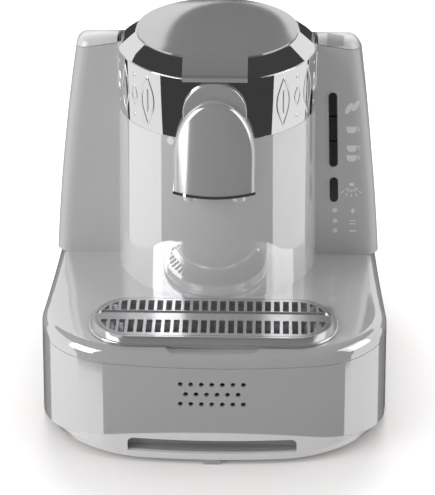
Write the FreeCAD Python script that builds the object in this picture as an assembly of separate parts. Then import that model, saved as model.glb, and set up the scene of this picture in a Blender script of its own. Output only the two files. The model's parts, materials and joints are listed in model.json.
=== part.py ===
import FreeCAD, Part
import math
import os

# Electric turkish coffee maker, in millimetres: X right, Y back, Z up, origin at the centre of its footprint

V = FreeCAD.Vector
os.makedirs("parts", exist_ok=True)

# Base
BASE_FRONT = -138.5
BASE_REAR = 138.5
BASE_HALF_WIDTH = 117.6
BASE_REAR_HALF_WIDTH = 112.2
BASE_DRAFT = 1.4
FRONT_BOW_RADIUS = 500.0
FRONT_CORNER_RADIUS = 58.0
REAR_CORNER_RADIUS = 40.0
PAN_BOTTOM = 4.0
PAN_PROUD = 0.7
LIP_CENTRE_Z = 24.4
LIP_SIDE_Z = 10.0
LIP_CORNER_RADIUS = 80.0
LIP_FLARE = 11.0
SEAM_HEIGHT = 0.5
SEAM_DEPTH = 0.8
DECK_SEAM_Z = 74.0
DECK_Z = 85.0
DECK_ROUND = 8.0
WALL = 2.8
FLOOR = 3.0

# Finger slot in the lip, and the foot tab below it
GRIP_WIDTH = 114.0
GRIP_LOW = 8.8
GRIP_HIGH = 18.8
GRIP_DEPTH = 7.0
GRIP_ROUND = 4.0
GRIP_WALL = 1.6
TAB_WIDTH = 11.5
TAB_DEPTH = 9.0

# Feet and screws
FOOT_RADIUS = 9.0
FOOT_X = 88.0
FOOT_FRONT_Y = -88.0
FOOT_REAR_Y = 104.0
SCREW_X = 62.0
SCREW_HEAD_RADIUS = 3.4
SCREW_HEAD_HEIGHT = 2.2
SCREW_RADIUS = 1.5
SCREW_LENGTH = 22.0
POST_LOW = 18.0
BOSS_RADIUS = 4.5

# Sound holes and speaker
SOUND_PITCH = 7.0
SOUND_ROW = 7.5
SOUND_HOLE_RADIUS = 1.65
SOUND_COUNTS = (7, 6, 7)
SOUND_Z = 54.0
SPEAKER_RADIUS = 15.0
SPEAKER_DEPTH = 12.0

# Column, ring and bevel round the brewing chamber
COLUMN_Y = 6.0
RING_RADIUS = 68.0
COLUMN_FOOT_RADIUS = 70.0
COLUMN_WALL = 3.0
RING_LOW = 203.7
RING_TOP = 247.2
RING_WALL = 4.0
BEVEL_RADIUS = 55.3
BEVEL_TOP = 256.4
BEVEL_BORE = 51.0
BEVEL_THICK = 2.6
LENS_RADIUS = 2.6
LENS_X = -29.8

# Brewing chamber and what heats it
CHAMBER_RADIUS = 49.0
CHAMBER_WALL = 1.5
CHAMBER_FLOOR_Z = 186.0
CHAMBER_ROUND = 16.0
HEATER_RADIUS = 30.0
HEATER_THICK = 7.0
SEAL_WIDTH = 4.0

# Lid of the brewing chamber
LID_APEX = 262.0
LID_EDGE_THICK = 1.6
LID_THICK = 2.4
LID_GAP = 0.3
LID_TAB_WIDTH = 43.0
LID_TAB_FRONT = -64.6
LID_TAB_LOW = 250.0
LID_TAB_THICK = 2.6
LID_HINGE_Y = 66.5
LID_HINGE_Z = 256.4
LID_PIN_RADIUS = 1.2
LID_KNUCKLE_RADIUS = 2.5
LID_KNUCKLE_WIDTH = 14.0
LID_HINGE_WIDTH = 26.0
PIN_CLEARANCE = 0.06

# Housing behind the column, and the tank lid that caps it
HOUSING_FRONT = 6.0
HOUSING_HALF_WIDTHS = ((85.0, 114.9), (165.0, 107.8), (253.0, 95.6))
HOUSING_REARS = (137.5, 135.5, 133.0)
HOUSING_FRONT_ROUND = 10.5
HOUSING_REAR_ROUND = 38.0
ROOF_Z = 252.0
ROOF_BREAK_Y = 16.0
ROOF_BREAK_RADIUS = 60.0
ROOF_SLOPE = 24.0
ROOF_ROUND = 8.0
ROOF_CROWN_RADIUS = 500.0
CAP_HEIGHT = 6.2
CAP_GAP = 0.35
RING_GAP = 0.7
REAR_SPLIT_Y = 92.0
VENT_COUNT = 9
VENT_PITCH = 7.0
VENT_WIDTH = 3.0
VENT_LOW = 98.0
VENT_HIGH = 122.0

# Water tank
TANK_FRONT = 80.5
TANK_REAR = 127.0
TANK_HALF_WIDTH = 82.0
TANK_CORNER = 20.0
TANK_WALL = 2.2
TANK_BOTTOM = 98.0
TANK_TO_CAP = 4.0
TANK_HINGE_Y = 132.6
TANK_PIN_RADIUS = 1.5
TANK_KNUCKLE_RADIUS = 3.0
TANK_EAR_X = (-52.0, 40.0)
TANK_EAR_WIDTH = 12.0
HINGE_RECESS_HALF = 60.0
TANK_OUTLET_X = -40.0
TANK_OUTLET_RADIUS = 7.0
TANK_STEM_RADIUS = 2.0
BAY_FLOOR_Z = 92.0
TANK_NECK = 5.4
BAY_WALL = 2.0
LIFT_TAB_X = 80.5
LIFT_TAB_WIDTH = 11.0
LIFT_TAB_PROUD = 0.8
LIFT_TAB_RISE = 1.6

# Pump, hoses, boards and cable outlet
PUMP_X = 58.0
PUMP_Y = (10.0, 62.0)
PUMP_Z = 32.0
PUMP_RADIUS = 16.0
HOSE_RADIUS = 4.0
INLET_X = 0.0
INLET_Y = 64.5
INLET_Z = 226.0
BOARD_AREA = (-98.0, -50.0, -10.0, 66.0)
BOARD_LIFT = 7.0
GLAND_X = 70.0
GLAND_Z = 34.0
GLAND_RADIUS = 6.5
GLAND_BORE = 3.8

# Spout
SPOUT_HALF_WIDTH = 27.0
SPOUT_TOP_Z = 235.0
SPOUT_ARCH_HEIGHT = 38.0
SPOUT_BOTTOM_Z = 175.8
SPOUT_FRONT_BOTTOM_Y = -85.5
SPOUT_FRONT_TOP_Y = -67.5
SPOUT_NOSE_RADIUS = 52.0
SPOUT_WALL = 2.4
SPOUT_ROUND = 5.0
TRIM_HEIGHT = 1.8
TRIM_PROUD = 0.5
NOZZLE_X = 16.5
NOZZLE_Y = -74.0
NOZZLE_RADIUS = 4.4
NOZZLE_BORE = 3.0
NOZZLE_LOW = 166.5
DUCT_BORE = 5.0
DUCT_WALL = 1.8
BOSS_Z = 225.4
BOSS_FACE_RADIUS = 21.2
BOSS_FRONT = -65.5
BOSS_EDGE = 1.0

# Drain valve, worked by a pinion and a rack
VALVE_Y = -30.0
VALVE_BORE = 6.0
STEM_RADIUS = 2.5
RACK_REACH = 4.0
PINION_Z = 154.5
GEAR_MODULE = 0.9
GEAR_TEETH = 12
GEAR_WIDTH = 6.0
GEAR_BACKLASH = 0.3
PRESSURE_ANGLE = 20.0
RACK_TEETH = 8
MOTOR_RADIUS = 11.0
MOTOR_LENGTH = 18.0

# Drip tray and its grid
TRAY_HALF_WIDTH = 81.0
TRAY_FRONT = -126.6
TRAY_REAR = -71.6
TRAY_RIM_Z = 91.0
TRAY_FLANGE_Z = 85.6
TRAY_FLANGE_OUT = 3.6
TRAY_FLANGE_THICK = 1.8
TRAY_FLOOR_Z = 66.0
TRAY_WALL = 1.8
TRAY_GAP = 0.8
GRID_THICK = 2.4
GRID_GAP = 0.4
SLOT_PITCH = 6.1
SLOT_WIDTH = 4.0
SLOT_COUNT = 25
SLOT_ROWS = ((-120.8, -103.4), (-90.4, -76.4))
GRID_BAND = (-102.6, -91.0)
GRID_BAND_DEPTH = 0.9
SCOOP_HALF_WIDTH = 31.0
SCOOP_DEPTH = 2.1
SCOOP_SLANT = 4.0
WELL_WALL = 2.0

# Push buttons on the right of the front wall
BUTTON_SPANS = ((193.8, 210.6), (174.9, 192.9), (154.6, 174.0), (127.2, 145.9))
BUTTON_WIDTH = 5.4
BUTTON_X = 82.0
BUTTON_LEAN_Z = 136.0
BUTTON_LEAN = 1.9
BUTTON_PROUD = 1.3
BUTTON_GAP = 0.35
BUTTON_DEPTH = 8.0
BUTTON_TRAVEL = 1.0
BEZEL_WIDTH = 0.9
BEZEL_PROUD = 0.5
STATUS_Z = (120.3, 112.0, 104.3)
STATUS_RADIUS = 1.8
BOARD_THICK = 1.6
SWITCH_SIZE = 5.0


def box(x0, x1, y0, y1, z0, z1):
    return Part.makeBox(x1 - x0, y1 - y0, z1 - z0, V(x0, y0, z0))


def rod(start, direction, radius, length):
    return Part.makeCylinder(radius, length, start, direction)


def upright(x, y, z0, z1, radius):
    return rod(V(x, y, z0), V(0, 0, 1), radius, z1 - z0)


def turned(points, x=0.0, y=COLUMN_Y):
    """A solid of revolution about the upright line at x, y, from its radius and height points"""
    corners = [V(r, 0, z) for r, z in points]
    face = Part.Face(Part.makePolygon(corners + corners[:1]))
    solid = face.revolve(V(0, 0, 0), V(0, 0, 1), 360)
    solid.translate(V(x, y, 0))
    return solid


def side_profile(points, x0, x1):
    """A prism along X from its Y and Z points"""
    corners = [V(x0, y, z) for y, z in points]
    face = Part.Face(Part.makePolygon(corners + corners[:1]))
    return face.extrude(V(x1 - x0, 0, 0))


def mirrored(p):
    return V(-p.x, p.y, p.z)


def symmetric_wire(right_half):
    """Closes a right half, a list of point tuples for lines and arcs, with its mirror image"""
    edges = []
    for points in right_half:
        edges.append(edge_through(points))
    for points in reversed(right_half):
        edges.append(edge_through([mirrored(p) for p in reversed(points)]))
    return Part.Wire(edges)


def edge_through(points):
    if len(points) == 2:
        return Part.LineSegment(points[0], points[1]).toShape()
    return Part.Arc(*points).toShape()


def rounded_bar(half_width, y0, y1, corner, z0, z1):
    """An upright prism with four rounded corners"""
    r = corner
    c = r * (1 - math.sqrt(0.5))
    half = [
        (V(0, y0, z0), V(half_width - r, y0, z0)),
        (V(half_width - r, y0, z0), V(half_width - c, y0 + c, z0), V(half_width, y0 + r, z0)),
        (V(half_width, y0 + r, z0), V(half_width, y1 - r, z0)),
        (V(half_width, y1 - r, z0), V(half_width - c, y1 - c, z0), V(half_width - r, y1, z0)),
        (V(half_width - r, y1, z0), V(0, y1, z0)),
    ]
    return Part.Face(symmetric_wire(half)).extrude(V(0, 0, z1 - z0))


def export(name, shape):
    solids = shape.Solids
    shape = solids[0] if len(solids) == 1 else Part.makeCompound(solids)
    shape.exportStep("parts/" + name + ".step")


# Outlines of the base and of the housing

def base_wire(z, grow=0.0, front_corner=FRONT_CORNER_RADIUS):
    """The plan of the base: a bowed front, large front corners, nearly straight sides, rounded rear"""
    bow = FRONT_BOW_RADIUS + grow
    corner = front_corner + grow
    rear = REAR_CORNER_RADIUS + grow
    half = BASE_HALF_WIDTH + grow
    front = BASE_FRONT - grow
    bow_centre = V(0, front + bow, z)
    corner_x = half - corner
    corner_centre = V(corner_x, front + bow - math.sqrt((bow - corner) ** 2 - corner_x ** 2), z)
    to_corner = (corner_centre - bow_centre).normalize()
    bow_end = bow_centre + to_corner * bow
    start_angle = math.atan2(to_corner.y, to_corner.x)
    end_angle = math.radians(4.0)
    mid_angle = (start_angle + end_angle) / 2
    corner_mid = corner_centre + V(math.cos(mid_angle), math.sin(mid_angle), 0) * corner
    corner_end = corner_centre + V(math.cos(end_angle), math.sin(end_angle), 0) * corner
    bow_half_angle = math.asin(bow_end.x / bow) / 2
    bow_mid = bow_centre + V(math.sin(bow_half_angle), -math.cos(bow_half_angle), 0) * bow
    side = BASE_REAR_HALF_WIDTH + grow
    side_start = V(side + 0.5, 38, z)
    side_mid = (corner_end + side_start) * 0.5 - V(0.5, 0, 0)
    side_end = V(side, BASE_REAR + grow - rear, z)
    rear_centre = V(side - rear, side_end.y, z)
    rear_mid = rear_centre + V(math.sqrt(0.5), math.sqrt(0.5), 0) * rear
    rear_end = V(side - rear, BASE_REAR + grow, z)
    half_plan = [
        (V(0, front, z), bow_mid, bow_end),
        (bow_end, corner_mid, corner_end),
        (corner_end, side_mid, side_start),
        (side_start, side_end),
        (side_end, rear_mid, rear_end),
        (rear_end, V(0, BASE_REAR + grow, z)),
    ]
    return symmetric_wire(half_plan)


def base_body(z0, z1, grow=0.0):
    """A slice of the drafted base between two heights"""
    span = DECK_Z - PAN_BOTTOM
    lower = base_wire(z0, grow + BASE_DRAFT * (DECK_Z - z0) / span)
    upper = base_wire(z1, grow + BASE_DRAFT * (DECK_Z - z1) / span)
    return Part.makeLoft([lower, upper], True, True)


def housing_wire(z, half_width, rear, grow=0.0):
    front = HOUSING_FRONT - grow
    r = HOUSING_FRONT_ROUND + grow
    q = HOUSING_REAR_ROUND + grow
    half_width = half_width + grow
    rear = rear + grow
    c = r * (1 - math.sqrt(0.5))
    k = q * (1 - math.sqrt(0.5))
    half = [
        (V(0, front, z), V(half_width - r, front, z)),
        (V(half_width - r, front, z), V(half_width - c, front + c, z), V(half_width, front + r, z)),
        (V(half_width, front + r, z), V(half_width, rear - q, z)),
        (V(half_width, rear - q, z), V(half_width - k, rear - k, z), V(half_width - q, rear, z)),
        (V(half_width - q, rear, z), V(0, rear, z)),
    ]
    return symmetric_wire(half)


def housing_body(grow=0.0):
    """The tapering block behind the column, up to its roof height"""
    wires = []
    for (z, half_width), rear in zip(HOUSING_HALF_WIDTHS, HOUSING_REARS):
        wires.append(housing_wire(z, half_width, rear, grow))
    return Part.makeLoft(wires, True, False)


def roof_arc():
    """Where the rounding between the flat and the sloping roof starts and ends"""
    slope = math.radians(ROOF_SLOPE)
    tangent = ROOF_BREAK_RADIUS * math.tan(slope / 2)
    return ROOF_BREAK_Y - tangent, ROOF_BREAK_Y + tangent * math.cos(slope)


def roof_height(y):
    start, end = roof_arc()
    if y <= start:
        return ROOF_Z
    if y >= end:
        return ROOF_Z - (y - ROOF_BREAK_Y) * math.tan(math.radians(ROOF_SLOPE))
    return ROOF_Z - ROOF_BREAK_RADIUS + math.sqrt(ROOF_BREAK_RADIUS ** 2 - (y - start) ** 2)


def below_roof(drop):
    """Everything under the roof line, lowered by drop: flat in front, rounded over and sloping to the rear"""
    far = BASE_REAR + 20
    near = HOUSING_FRONT - 40
    low = DECK_Z - 20
    wide = BASE_HALF_WIDTH + 20
    start, end = roof_arc()

    def at(y):
        return V(-wide, y, roof_height(y) - drop)

    edges = [
        edge_through((V(-wide, near, low), V(-wide, far, low))),
        edge_through((V(-wide, far, low), at(far))),
        edge_through((at(far), at(end))),
        edge_through((at(end), at((start + end) / 2), at(start))),
        edge_through((at(start), at(near))),
        edge_through((at(near), V(-wide, near, low))),
    ]
    return Part.Face(Part.Wire(edges)).extrude(V(2 * wide, 0, 0))


def column_cone(grow, z0, z1):
    """The flared column, from its foot on the deck up to the ring"""
    slope = (RING_RADIUS - COLUMN_FOOT_RADIUS) / (RING_LOW - DECK_Z)
    r0 = COLUMN_FOOT_RADIUS + slope * (z0 - DECK_Z) + grow
    r1 = COLUMN_FOOT_RADIUS + slope * (z1 - DECK_Z) + grow
    return Part.makeCone(r0, r1, z1 - z0, V(0, COLUMN_Y, z0), V(0, 0, 1))


# Base pieces

def below_lip():
    """Everything under the arched line between the front panel and the lip"""
    half = BASE_HALF_WIDTH
    rise = LIP_CENTRE_Z - LIP_SIDE_Z
    radius = (half ** 2 + rise ** 2) / (2 * rise)
    depth = BASE_REAR - BASE_FRONT + 40
    arch = Part.makeCylinder(radius, depth, V(0, BASE_FRONT - 20, LIP_CENTRE_Z - radius), V(0, 1, 0))
    return arch


def screw_places():
    return [(x, y) for x in (-SCREW_X, SCREW_X) for y in (FOOT_FRONT_Y, FOOT_REAR_Y)]


def grip_cut(grow, depth):
    """The finger slot in the front lip, with rounded upper corners"""
    half = GRIP_WIDTH / 2 + grow
    slot = box(-half, half, BASE_FRONT - 6, BASE_FRONT + depth, GRIP_LOW - grow, GRIP_HIGH + grow)
    corners = [e for e in slot.Edges if is_along(e, V(0, 1, 0)) and e.Vertexes[0].Z > GRIP_HIGH - 1]
    return slot.makeFillet(GRIP_ROUND, corners)


def is_along(edge, direction):
    a, b = edge.Vertexes[0].Point, edge.Vertexes[-1].Point
    return (b - a).cross(direction).Length < 1e-6 and (b - a).Length > 1e-6


def lip_body(grow):
    """The undercut of the lip: rounder front corners at the floor, flaring out past the wall above them"""
    foot = base_wire(PAN_BOTTOM, grow + PAN_PROUD + BASE_DRAFT + 0.1, LIP_CORNER_RADIUS)
    brim = base_wire(LIP_CENTRE_Z + 2, grow + LIP_FLARE)
    return Part.makeLoft([foot, brim], True, True)


def base_pan():
    outer = base_body(PAN_BOTTOM, LIP_CENTRE_Z + 2, PAN_PROUD).common(lip_body(0))
    inner = base_body(PAN_BOTTOM + FLOOR, LIP_CENTRE_Z + 2, PAN_PROUD - WALL).common(lip_body(-WALL))
    pan = outer.cut(inner).common(below_lip())
    pan = pan.cut(grip_cut(0.0, WALL + 2))
    for x, y in board_places():
        pan = pan.fuse(upright(x, y, PAN_BOTTOM, PAN_BOTTOM + FLOOR + BOARD_LIFT, 3.0))
    for x, y in screw_places():
        pan = pan.fuse(upright(x, y, PAN_BOTTOM, POST_LOW, BOSS_RADIUS))
        pan = pan.cut(upright(x, y, PAN_BOTTOM, PAN_BOTTOM + SCREW_HEAD_HEIGHT, SCREW_HEAD_RADIUS + 0.1))
        pan = pan.cut(upright(x, y, PAN_BOTTOM, PAN_BOTTOM + SCREW_LENGTH, SCREW_RADIUS))
    return pan


def grip_insert():
    """The pocket behind the finger slot"""
    half = GRIP_WIDTH / 2 + GRIP_WALL
    back = BASE_FRONT + WALL + 2
    front = back - 1.4
    outer = box(-half, half, front, back + GRIP_DEPTH, PAN_BOTTOM + FLOOR, GRIP_HIGH + GRIP_WALL)
    inner = grip_cut(0.0, WALL + GRIP_DEPTH)
    outer = outer.cut(base_ring(PAN_BOTTOM, LIP_CENTRE_Z + 2))
    return outer.cut(inner)


def base_ring(z0, z1):
    outer = base_body(z0, z1, PAN_PROUD + 8)
    inner = base_body(z0, z1, PAN_PROUD - WALL)
    return outer.cut(inner)


def front_foot():
    y = BASE_FRONT - PAN_PROUD - BASE_DRAFT + 0.3
    return box(-TAB_WIDTH / 2, TAB_WIDTH / 2, y, y + TAB_DEPTH, 0, PAN_BOTTOM)


def rubber_feet():
    feet = []
    for x in (-FOOT_X, FOOT_X):
        for y in (FOOT_FRONT_Y, FOOT_REAR_Y):
            foot = upright(x, y, 0, PAN_BOTTOM, FOOT_RADIUS)
            feet.append(foot.makeFillet(1.2, [e for e in foot.Edges if e.BoundBox.ZMax < 0.1]))
    return Part.makeCompound(feet)


def base_screws():
    screws = []
    for x, y in screw_places():
        head = upright(x, y, PAN_BOTTOM + 0.4, PAN_BOTTOM + SCREW_HEAD_HEIGHT, SCREW_HEAD_RADIUS)
        shank = upright(x, y, PAN_BOTTOM + SCREW_HEAD_HEIGHT, PAN_BOTTOM + SCREW_LENGTH, SCREW_RADIUS)
        screws.append(head.fuse(shank))
    return Part.makeCompound(screws)


def sound_holes(depth):
    holes = []
    for row, count in enumerate(SOUND_COUNTS):
        z = SOUND_Z + (1 - row) * SOUND_ROW
        for k in range(count):
            x = (k - (count - 1) / 2) * SOUND_PITCH
            holes.append(rod(V(x, BASE_FRONT - 3, z), V(0, 1, 0), SOUND_HOLE_RADIUS, depth))
    return holes


def base_skirt():
    """The wall of the base, its front being the panel with the sound holes"""
    outer = base_body(LIP_SIDE_Z - 4, DECK_SEAM_Z)
    inner = base_body(LIP_SIDE_Z - 4, DECK_SEAM_Z, -WALL)
    skirt = outer.cut(inner).cut(below_lip()).cut(seam_groove())
    gland = rod(V(GLAND_X, BASE_REAR - 20, GLAND_Z), V(0, 1, 0), GLAND_RADIUS, 40)
    return skirt.cut(sound_holes(WALL + 8) + [gland])


def seam_groove():
    """The shadow gap under the deck plate"""
    low = DECK_SEAM_Z - SEAM_HEIGHT
    return base_body(low, DECK_SEAM_Z, PAN_PROUD).cut(base_body(low, DECK_SEAM_Z, -SEAM_DEPTH))


def speaker():
    seat = BASE_FRONT + WALL - 0.1
    frame = rod(V(0, seat, SOUND_Z), V(0, 1, 0), SPEAKER_RADIUS, 3.0)
    cone = Part.makeCone(SPEAKER_RADIUS - 3, 8.0, SPEAKER_DEPTH - 5, V(0, seat + 3, SOUND_Z), V(0, 1, 0))
    magnet = rod(V(0, seat + SPEAKER_DEPTH - 2, SOUND_Z), V(0, 1, 0), 8.0, 7.0)
    dish = Part.makeCone(SPEAKER_RADIUS - 3, 8.0, 2.5, V(0, seat, SOUND_Z), V(0, 1, 0))
    return frame.fuse([cone, magnet]).cut(dish)


def tray_plan(grow, z0, z1):
    """The stadium plan that the tray, its grid and the deck recess share"""
    half_depth = (TRAY_REAR - TRAY_FRONT) / 2 + grow
    corner = half_depth - 0.2
    return rounded_bar(TRAY_HALF_WIDTH + grow, TRAY_FRONT - grow, TRAY_REAR + grow, corner, z0, z1)


def deck_plate():
    outer = base_body(DECK_SEAM_Z, DECK_Z)
    rim = [e for e in outer.Edges if e.BoundBox.ZMin > DECK_Z - 1e-3 and e.BoundBox.YMin < 60]
    outer = outer.makeFillet(DECK_ROUND, rim)
    inner = base_body(DECK_SEAM_Z - 0.1, DECK_Z - WALL, -WALL - 3.0)
    plate = outer.cut(inner)
    inset = -TRAY_FLANGE_OUT - TRAY_WALL + TRAY_GAP + 3
    well_floor = TRAY_FLOOR_Z - TRAY_GAP
    plate = plate.fuse(tray_plan(inset + 2, well_floor - 2, DECK_Z - 0.5))
    plate = plate.cut(tray_plan(inset, well_floor, DECK_Z + 5))
    for x, y in screw_places():
        top = well_floor - 1 if y < 0 else DECK_Z - 1.5
        plate = plate.fuse(upright(x, y, POST_LOW, top, BOSS_RADIUS))
        plate = plate.cut(upright(x, y, POST_LOW, PAN_BOTTOM + SCREW_LENGTH, SCREW_RADIUS))
    for x, y in ((TANK_OUTLET_X, outlet_y()), (INLET_X, INLET_Y)):
        plate = plate.cut(upright(x, y, DECK_SEAM_Z, DECK_Z + 1, HOSE_RADIUS + 1.5))
    return plate.cut(scoop(TRAY_FRONT - inset - WELL_WALL))


def scoop(y):
    """The notch in the deck's front edge, back to y, that gives a fingertip room under the tray's rim"""
    half = SCOOP_HALF_WIDTH
    top = DECK_Z + SCOOP_DEPTH
    low = DECK_Z - SCOOP_DEPTH
    corners = [V(-half - SCOOP_SLANT, y, top), V(-half + SCOOP_SLANT, y, low),
               V(half - SCOOP_SLANT, y, low), V(half + SCOOP_SLANT, y, top)]
    face = Part.Face(Part.makePolygon(corners + corners[:1]))
    return face.extrude(V(0, BASE_FRONT - DECK_ROUND - y, 0))


# Tray pieces

def drip_tray():
    inset = -TRAY_FLANGE_OUT - TRAY_WALL + 3
    tub = tray_plan(inset, TRAY_FLOOR_Z, TRAY_FLANGE_Z)
    flange = tray_plan(TRAY_FLANGE_OUT, TRAY_FLANGE_Z, TRAY_FLANGE_Z + TRAY_FLANGE_THICK)
    rim = tray_plan(0, TRAY_FLANGE_Z, TRAY_RIM_Z)
    top = [e for e in flange.Edges if e.BoundBox.ZMin > TRAY_FLANGE_Z + TRAY_FLANGE_THICK - 1e-3]
    flange = flange.makeFillet(1.2, top)
    tray = tub.fuse([flange, rim])
    tray = tray.cut(tray_plan(inset - TRAY_WALL, TRAY_FLOOR_Z + TRAY_WALL, TRAY_RIM_Z + 1))
    return tray.cut(tray_plan(-TRAY_WALL, TRAY_RIM_Z - GRID_THICK, TRAY_RIM_Z + 1))


def drip_grid():
    inset = -TRAY_WALL - GRID_GAP
    grid = tray_plan(inset, TRAY_RIM_Z - GRID_THICK, TRAY_RIM_Z)
    band = rounded_bar(TRAY_HALF_WIDTH - 3, GRID_BAND[0], GRID_BAND[1], 4.0, TRAY_RIM_Z - GRID_BAND_DEPTH,
                       TRAY_RIM_Z + 1)
    field = tray_plan(inset - 2.2, TRAY_RIM_Z - GRID_THICK - 1, TRAY_RIM_Z + 1)
    slots = []
    for front, rear in SLOT_ROWS:
        for k in range(SLOT_COUNT):
            x = (k - (SLOT_COUNT - 1) / 2) * SLOT_PITCH
            slot = box(x - SLOT_WIDTH / 2, x + SLOT_WIDTH / 2, front, rear,
                       TRAY_RIM_Z - GRID_THICK - 1, TRAY_RIM_Z + 1)
            slots.append(slot.common(field))
    return grid.cut(band).cut(slots)


# Column pieces

def column_shell():
    shell = column_cone(0, DECK_Z, RING_LOW).cut(column_cone(-COLUMN_WALL, DECK_Z - 1, RING_LOW + 1))
    front = box(-80, 80, -80, HOUSING_FRONT + WALL, DECK_Z, RING_LOW)
    shell = shell.common(front)
    shell = shell.cut(lens_hole())
    return shell.cut(spout_passage())


def spout_passage():
    return box(-20, 20, -90, -40, SPOUT_BOTTOM_Z + 2, RING_LOW - 3)


def lens_hole():
    y = COLUMN_Y - math.sqrt(RING_RADIUS ** 2 - LENS_X ** 2)
    out = V(LENS_X, y - COLUMN_Y, 0).normalize()
    start = V(LENS_X, y, RING_LOW - LENS_RADIUS - 0.2) - out * 6
    return rod(start, out, LENS_RADIUS, 12)


def sensor_lens():
    skin = column_cone(0.3, DECK_Z, RING_LOW)
    return lens_hole().common(skin)


def ring_collar():
    bore = RING_RADIUS - RING_WALL
    profile = [
        (bore, RING_LOW), (RING_RADIUS - 0.6, RING_LOW), (RING_RADIUS, RING_LOW + 0.6),
        (RING_RADIUS, RING_TOP - 0.6), (RING_RADIUS - 0.6, RING_TOP), (bore, RING_TOP),
    ]
    return turned(profile)


def ring_bevel():
    profile = [
        (BEVEL_BORE, BEVEL_TOP - BEVEL_THICK), (BEVEL_RADIUS, BEVEL_TOP - BEVEL_THICK),
        (RING_RADIUS - RING_WALL, RING_TOP),
        (RING_RADIUS - 0.8, RING_TOP), (RING_RADIUS - 0.6, RING_TOP + 0.5), (BEVEL_RADIUS + 0.3, BEVEL_TOP),
        (BEVEL_BORE, BEVEL_TOP),
    ]
    return turned(profile)


def brew_chamber():
    """A deep drawn pot with a rounded bottom, a rim flange and a drain hole at its front"""
    r = CHAMBER_RADIUS
    pot = upright(0, COLUMN_Y, CHAMBER_FLOOR_Z, RING_TOP, r)
    foot = [e for e in pot.Edges if e.BoundBox.ZMax < CHAMBER_FLOOR_Z + 1e-3]
    pot = pot.makeFillet(CHAMBER_ROUND, foot)
    hollow = upright(0, COLUMN_Y, CHAMBER_FLOOR_Z + CHAMBER_WALL, RING_TOP + 1, r - CHAMBER_WALL)
    foot = [e for e in hollow.Edges if e.BoundBox.ZMax < CHAMBER_FLOOR_Z + CHAMBER_WALL + 1e-3]
    hollow = hollow.makeFillet(CHAMBER_ROUND - CHAMBER_WALL, foot)
    rim = upright(0, COLUMN_Y, RING_TOP - CHAMBER_WALL, RING_TOP, RING_RADIUS - RING_WALL)
    drain = upright(0, VALVE_Y, CHAMBER_FLOOR_Z - 5, CHAMBER_FLOOR_Z + 5, VALVE_BORE)
    return pot.fuse(rim).cut([hollow, drain, inlet_spout()])


def chamber_seal():
    inner = BEVEL_BORE + 0.2
    top = BEVEL_TOP - BEVEL_THICK
    return turned([(inner, RING_TOP), (inner + SEAL_WIDTH, RING_TOP), (inner + SEAL_WIDTH, top), (inner, top)])


def heater_plate():
    top = CHAMBER_FLOOR_Z
    disc = upright(0, COLUMN_Y + 8, top - HEATER_THICK, top, HEATER_RADIUS - 6)
    coil = Part.makeTorus(HEATER_RADIUS - 12, 3.4, V(0, COLUMN_Y + 8, top - HEATER_THICK), V(0, 0, 1))
    return disc.fuse(coil)


def thermostat():
    top = CHAMBER_FLOOR_Z - HEATER_THICK
    can = upright(0, COLUMN_Y + 8, top - 9, top, 8.0)
    blades = box(-7, -5, COLUMN_Y + 4, COLUMN_Y + 12, top - 17, top - 9)
    return can.fuse([blades, box(5, 7, COLUMN_Y + 4, COLUMN_Y + 12, top - 17, top - 9)])


# Spout pieces

def spout_body(grow, z0):
    """The nose of the spout: an arched front outline carried back from a leaning rounded face"""
    half = SPOUT_HALF_WIDTH + grow
    height = SPOUT_ARCH_HEIGHT + grow
    spring = SPOUT_TOP_Z - SPOUT_ARCH_HEIGHT
    far = -110
    arch = Part.Ellipse(V(0, far, spring + height), V(half, far, spring), V(0, far, spring))
    crown = Part.Arc(arch, *arch_ends(arch, V(half, far, spring))).toShape()
    left, right = sorted(crown.Vertexes, key=lambda v: v.X)
    foot = [
        edge_through((right.Point, V(half, far, z0))),
        edge_through((V(half, far, z0), V(-half, far, z0))),
        edge_through((V(-half, far, z0), left.Point)),
    ]
    block = Part.Face(Part.Wire(Part.__sortEdges__([crown] + foot))).extrude(V(0, 80, 0))
    lean = V(0, SPOUT_FRONT_TOP_Y - SPOUT_FRONT_BOTTOM_Y, SPOUT_TOP_Z - SPOUT_BOTTOM_Z).normalize()
    start = V(0, SPOUT_FRONT_BOTTOM_Y + SPOUT_NOSE_RADIUS, SPOUT_BOTTOM_Z) - lean * 40
    nose = rod(start, lean, SPOUT_NOSE_RADIUS + grow, 160)
    return block.common(nose)


def arch_ends(arch, side):
    """The parameters of the half ellipse that runs over its top from one side to the other"""
    first = arch.parameter(side)
    return (first, first + math.pi) if arch.value(first + math.pi / 2).z > side.z else (first - math.pi, first)


def column_core():
    """The column and the ring as one solid, which the spout pieces are fitted against"""
    return column_cone(0, SPOUT_BOTTOM_Z - 20, RING_LOW).fuse(upright(0, COLUMN_Y, RING_LOW, RING_TOP, RING_RADIUS))


def spout_cover():
    outer = spout_body(0, SPOUT_BOTTOM_Z)
    outer = outer.cut(box(-60, 60, -56, 0, 100, 300))
    edges = [e for e in outer.Edges if e.BoundBox.YMin < -56.5 and e.BoundBox.ZMax > SPOUT_BOTTOM_Z + 1
             and not is_along(e, V(0, 1, 0))]
    outer = outer.makeFillet(SPOUT_ROUND, edges)
    cover = outer.cut(spout_body(-SPOUT_WALL, SPOUT_BOTTOM_Z - 5))
    return cover.cut([column_core(), spout_boss()])


def spout_trim():
    outer = spout_body(TRIM_PROUD, SPOUT_BOTTOM_Z - TRIM_HEIGHT)
    outer = outer.common(box(-60, 60, -110, -40, SPOUT_BOTTOM_Z - TRIM_HEIGHT, SPOUT_BOTTOM_Z))
    trim = outer.cut(nozzle_solids(NOZZLE_RADIUS))
    return trim.cut(column_core())


def nozzle_solids(radius):
    return [upright(x, NOZZLE_Y, NOZZLE_LOW, SPOUT_BOTTOM_Z + 3, radius) for x in (-NOZZLE_X, NOZZLE_X)]


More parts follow.
